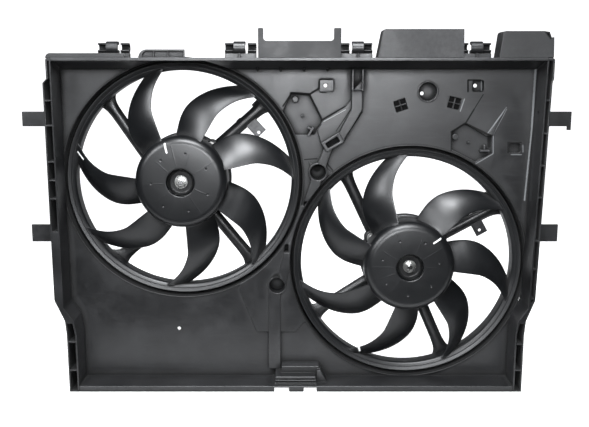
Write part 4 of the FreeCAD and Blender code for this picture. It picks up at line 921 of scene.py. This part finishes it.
class FANSHROUD_OT_fans(Operator):
    """Make both fan mouldings: hub, swept blades and outer ring"""
    bl_idname = "fanshroud.fans"
    bl_label = "Make fans"

    def execute(self, context):
        settings = context.scene.fan_settings
        material = material_of(smooth_fan, settings)
        recess = material_of(glossy_recess, settings)
        for side in SIDES:
            make_blades(side, settings, material)
            make_hub(side, material, recess)
            make_ring(side, settings, material)
        return {"FINISHED"}


class FANSHROUD_OT_motors(Operator):
    """Dress both motors and their fasteners in plated steel, copper, ferrite and board"""
    bl_idname = "fanshroud.motors"
    bl_label = "Make motors"

    def execute(self, context):
        settings = context.scene.motor_settings
        can = settings.can
        cover = plastic("coated_cover", (0.028, 0.028, 0.03), (0.07, 0.07, 0.07), 0.6, (0.35, 0.5), 900.0, 0.00006,
                        (0.3, 0.3, 0.3), 0.5)
        zinc = metal("bright_zinc", (0.32, 0.32, 0.31), (0.6, 0.6, 0.58), (0.22, 0.38))
        copper = metal("enamelled_copper", (0.45, 0.2, 0.1), (0.72, 0.38, 0.2), (0.25, 0.4))
        bearing = metal("bearing_steel", (0.55, 0.55, 0.55), (0.78, 0.78, 0.78), (0.1, 0.2))
        seen = (
            ("motor_can", "motor_steel", "shroud", metal("plated_can", [0.7 * c for c in can], can, (0.28, 0.45))),
            ("motor_cover", "cover_metal", "shroud", cover),
            ("fan_nut", "fastener_steel", "{}_fan", zinc),
            ("fan_washer", "fastener_steel", "{}_fan", zinc),
            ("motor_screws", "fastener_steel", "shroud", zinc),
            ("motor_shaft", "shaft_steel", "{}_fan",
             metal("ground_steel", (0.5, 0.5, 0.5), (0.7, 0.7, 0.7), (0.15, 0.25))),
        )
        inside = (
            ("motor_armature", metal("core_sheet", (0.18, 0.18, 0.19), (0.32, 0.32, 0.33), (0.4, 0.6))),
            ("motor_winding", copper),
            ("motor_commutator", copper),
            ("motor_magnets", plastic("ferrite", (0.05, 0.05, 0.052), (0.12, 0.12, 0.12), 0.8, (0.6, 0.8), 700.0,
                                      0.00008, (0.2, 0.2, 0.2), 0.5)),
            ("brush_card", plastic("pressed_board", (0.16, 0.09, 0.05), (0.26, 0.17, 0.1), 0.8, (0.5, 0.7), 500.0,
                                   0.00008, (0.3, 0.2, 0.12), 0.5)),
            ("brushes", plastic("carbon", (0.03, 0.03, 0.03), (0.08, 0.08, 0.08), 0.8, (0.5, 0.7), 900.0, 0.00005,
                                (0.12, 0.12, 0.12), 0.5)),
            ("front_bearing", bearing),
            ("rear_bearing", bearing),
        )
        for side in SIDES:
            for kind, slot, body, material in seen:
                node = f"{side}_{kind}"
                dress(f"{node}_dressed", node, body.format(side), settings.edge, material)
            for kind, material in inside:
                repaint(f"{side}_{kind}", material)
        return {"FINISHED"}


class FANSHROUD_OT_leads(Operator):
    """Dress the motor leads, the clips that hold them and the sockets"""
    bl_idname = "fanshroud.leads"
    bl_label = "Make leads"

    def execute(self, context):
        edge = context.scene.motor_settings.edge
        jacket = plastic("lead_jacket", (0.015, 0.015, 0.016), (0.05, 0.05, 0.05), 0.5, (0.35, 0.5), 1800.0, 0.00003,
                         (0.08, 0.08, 0.08), 0.3)
        socket = plastic("socket_plastic", (0.03, 0.03, 0.032), (0.07, 0.07, 0.07), 0.4, (0.25, 0.38), 2200.0,
                         0.00003, (0.13, 0.13, 0.13), 0.5)
        grained = material_of(grained_shroud, context.scene.shroud_settings)
        for side in SIDES:
            for kind, slot, material in (
                ("motor_lead", "wire", jacket),
                ("lead_clips", "shroud_plastic", grained),
                ("motor_plug", "plug_plastic", socket),
            ):
                node = f"{side}_{kind}"
                dress(f"{node}_dressed", node, "shroud", edge, material)
        return {"FINISHED"}


class FANSHROUD_OT_stage(Operator):
    """Make the pale floor with its swept backdrop, the soft lights and the camera"""
    bl_idname = "fanshroud.stage"
    bl_label = "Make stage"

    def execute(self, context):
        settings = context.scene.stage_settings
        scene = context.scene
        make_backdrop(settings)
        scene.world = make_sky(settings)
        for name, place, target, size, power in LIGHTS:
            make_light(name, place, target, size, getattr(settings, power))
        camera_data = bpy.data.cameras.new("photo_camera")
        camera_data.lens = settings.lens
        camera_data.sensor_width = 36.0
        camera_data.clip_start = 0.01
        camera = bpy.data.objects.new("photo_camera", camera_data)
        camera.location = CAMERA_PLACE
        camera.rotation_euler = (math.radians(CAMERA_TILT), 0.0, 0.0)
        scene.collection.objects.link(camera)
        scene.camera = camera
        scene.view_settings.view_transform = "Standard"
        return {"FINISHED"}


def make_sky(settings):
    """An even dim light from all round, which the camera sees as white."""
    world = bpy.data.worlds.new("even_sky")
    world.use_nodes = True
    tree = world.node_tree
    background = tree.nodes["Background"]
    background.inputs["Color"].default_value = WHITE
    seen = tree.nodes.new("ShaderNodeLightPath").outputs["Is Camera Ray"]
    link(tree, spread(tree, seen, 0.0, 1.0, settings.sky, 1.0), background.inputs["Strength"])
    return world


def make_backdrop(settings):
    """The floor runs back flat, sweeps up a quarter circle and stands as a wall; the strip is carried along X."""
    turn = np.linspace(0.0, math.pi / 2, 24)
    y = np.concatenate([[-0.2, 2.4], 2.4 + 1.2 * np.sin(turn), [3.6]])
    z = np.concatenate([[0.0, 0.0], 1.2 - 1.2 * np.cos(turn), [5.0]])
    x = np.linspace(-3.0, 3.0, 3)
    points = np.stack(np.broadcast_arrays(x[:, None], y[None, :], z[None, :]), axis=-1)
    floor = grid_piece("pale_backdrop", points, wrap_v=False)
    material, tree, shader, place = start_material("pale_floor", Roughness=0.8)
    tint = spread(tree, noise(tree, place, 3.0, 3.0), 0.3, 0.7, 0.0, 1.0)
    low = opaque([0.985 * c for c in settings.floor])
    link(tree, mix_colour(tree, tint, low, opaque(settings.floor)), shader.inputs["Base Color"])
    shader.inputs["Emission Color"].default_value = WHITE
    seen = tree.nodes.new("ShaderNodeLightPath").outputs["Is Camera Ray"]
    link(tree, spread(tree, seen, 0.0, 1.0, 0.0, settings.glow), shader.inputs["Emission Strength"])
    floor.data.materials.append(material)


def make_light(name, place, target, size, power):
    """A soft rectangular light at a place, turned to look at its target."""
    data = bpy.data.lights.new(name, "AREA")
    data.shape = "RECTANGLE"
    data.size, data.size_y = size
    data.energy = power
    data.spread = math.radians(100.0)
    data.color = (0.95, 0.97, 1.0)
    light = bpy.data.objects.new(name, data)
    light.location = place
    direction = np.array(target) - np.array(place)
    light.rotation_euler = (math.atan2(math.hypot(direction[0], direction[1]), -direction[2]), 0.0,
                            math.atan2(direction[1], direction[0]) - math.pi / 2)
    bpy.context.scene.collection.objects.link(light)


class FANSHROUD_PT_panel(Panel):
    """Lists the pieces of the fan shroud and their settings"""
    bl_idname = "FANSHROUD_PT_panel"
    bl_label = "Fan shroud"
    bl_space_type = "VIEW_3D"
    bl_region_type = "UI"
    bl_category = "Fan shroud"

    def draw(self, context):
        for operator in OPERATORS:
            self.layout.operator(operator.bl_idname)
        for name, group in SETTINGS.items():
            box = self.layout.box()
            for key in group.__annotations__:
                box.prop(getattr(context.scene, name), key)


OPERATORS = (FANSHROUD_OT_tray, FANSHROUD_OT_fans, FANSHROUD_OT_motors, FANSHROUD_OT_leads, FANSHROUD_OT_stage)
CLASSES = tuple(SETTINGS.values()) + OPERATORS + (FANSHROUD_PT_panel,)


def register():
    """Adds the classes and hangs each group of settings on the scene."""
    for item in CLASSES:
        bpy.utils.register_class(item)
    for name, group in SETTINGS.items():
        setattr(bpy.types.Scene, name, PointerProperty(type=group))


def unregister():
    for name in SETTINGS:
        delattr(bpy.types.Scene, name)
    for item in reversed(CLASSES):
        bpy.utils.unregister_class(item)


def main():
    """Makes every piece and the stage."""
    register()
    bpy.ops.fanshroud.tray()
    bpy.ops.fanshroud.fans()
    bpy.ops.fanshroud.motors()
    bpy.ops.fanshroud.leads()
    bpy.ops.fanshroud.stage()


if __name__ == "__main__":
    main()
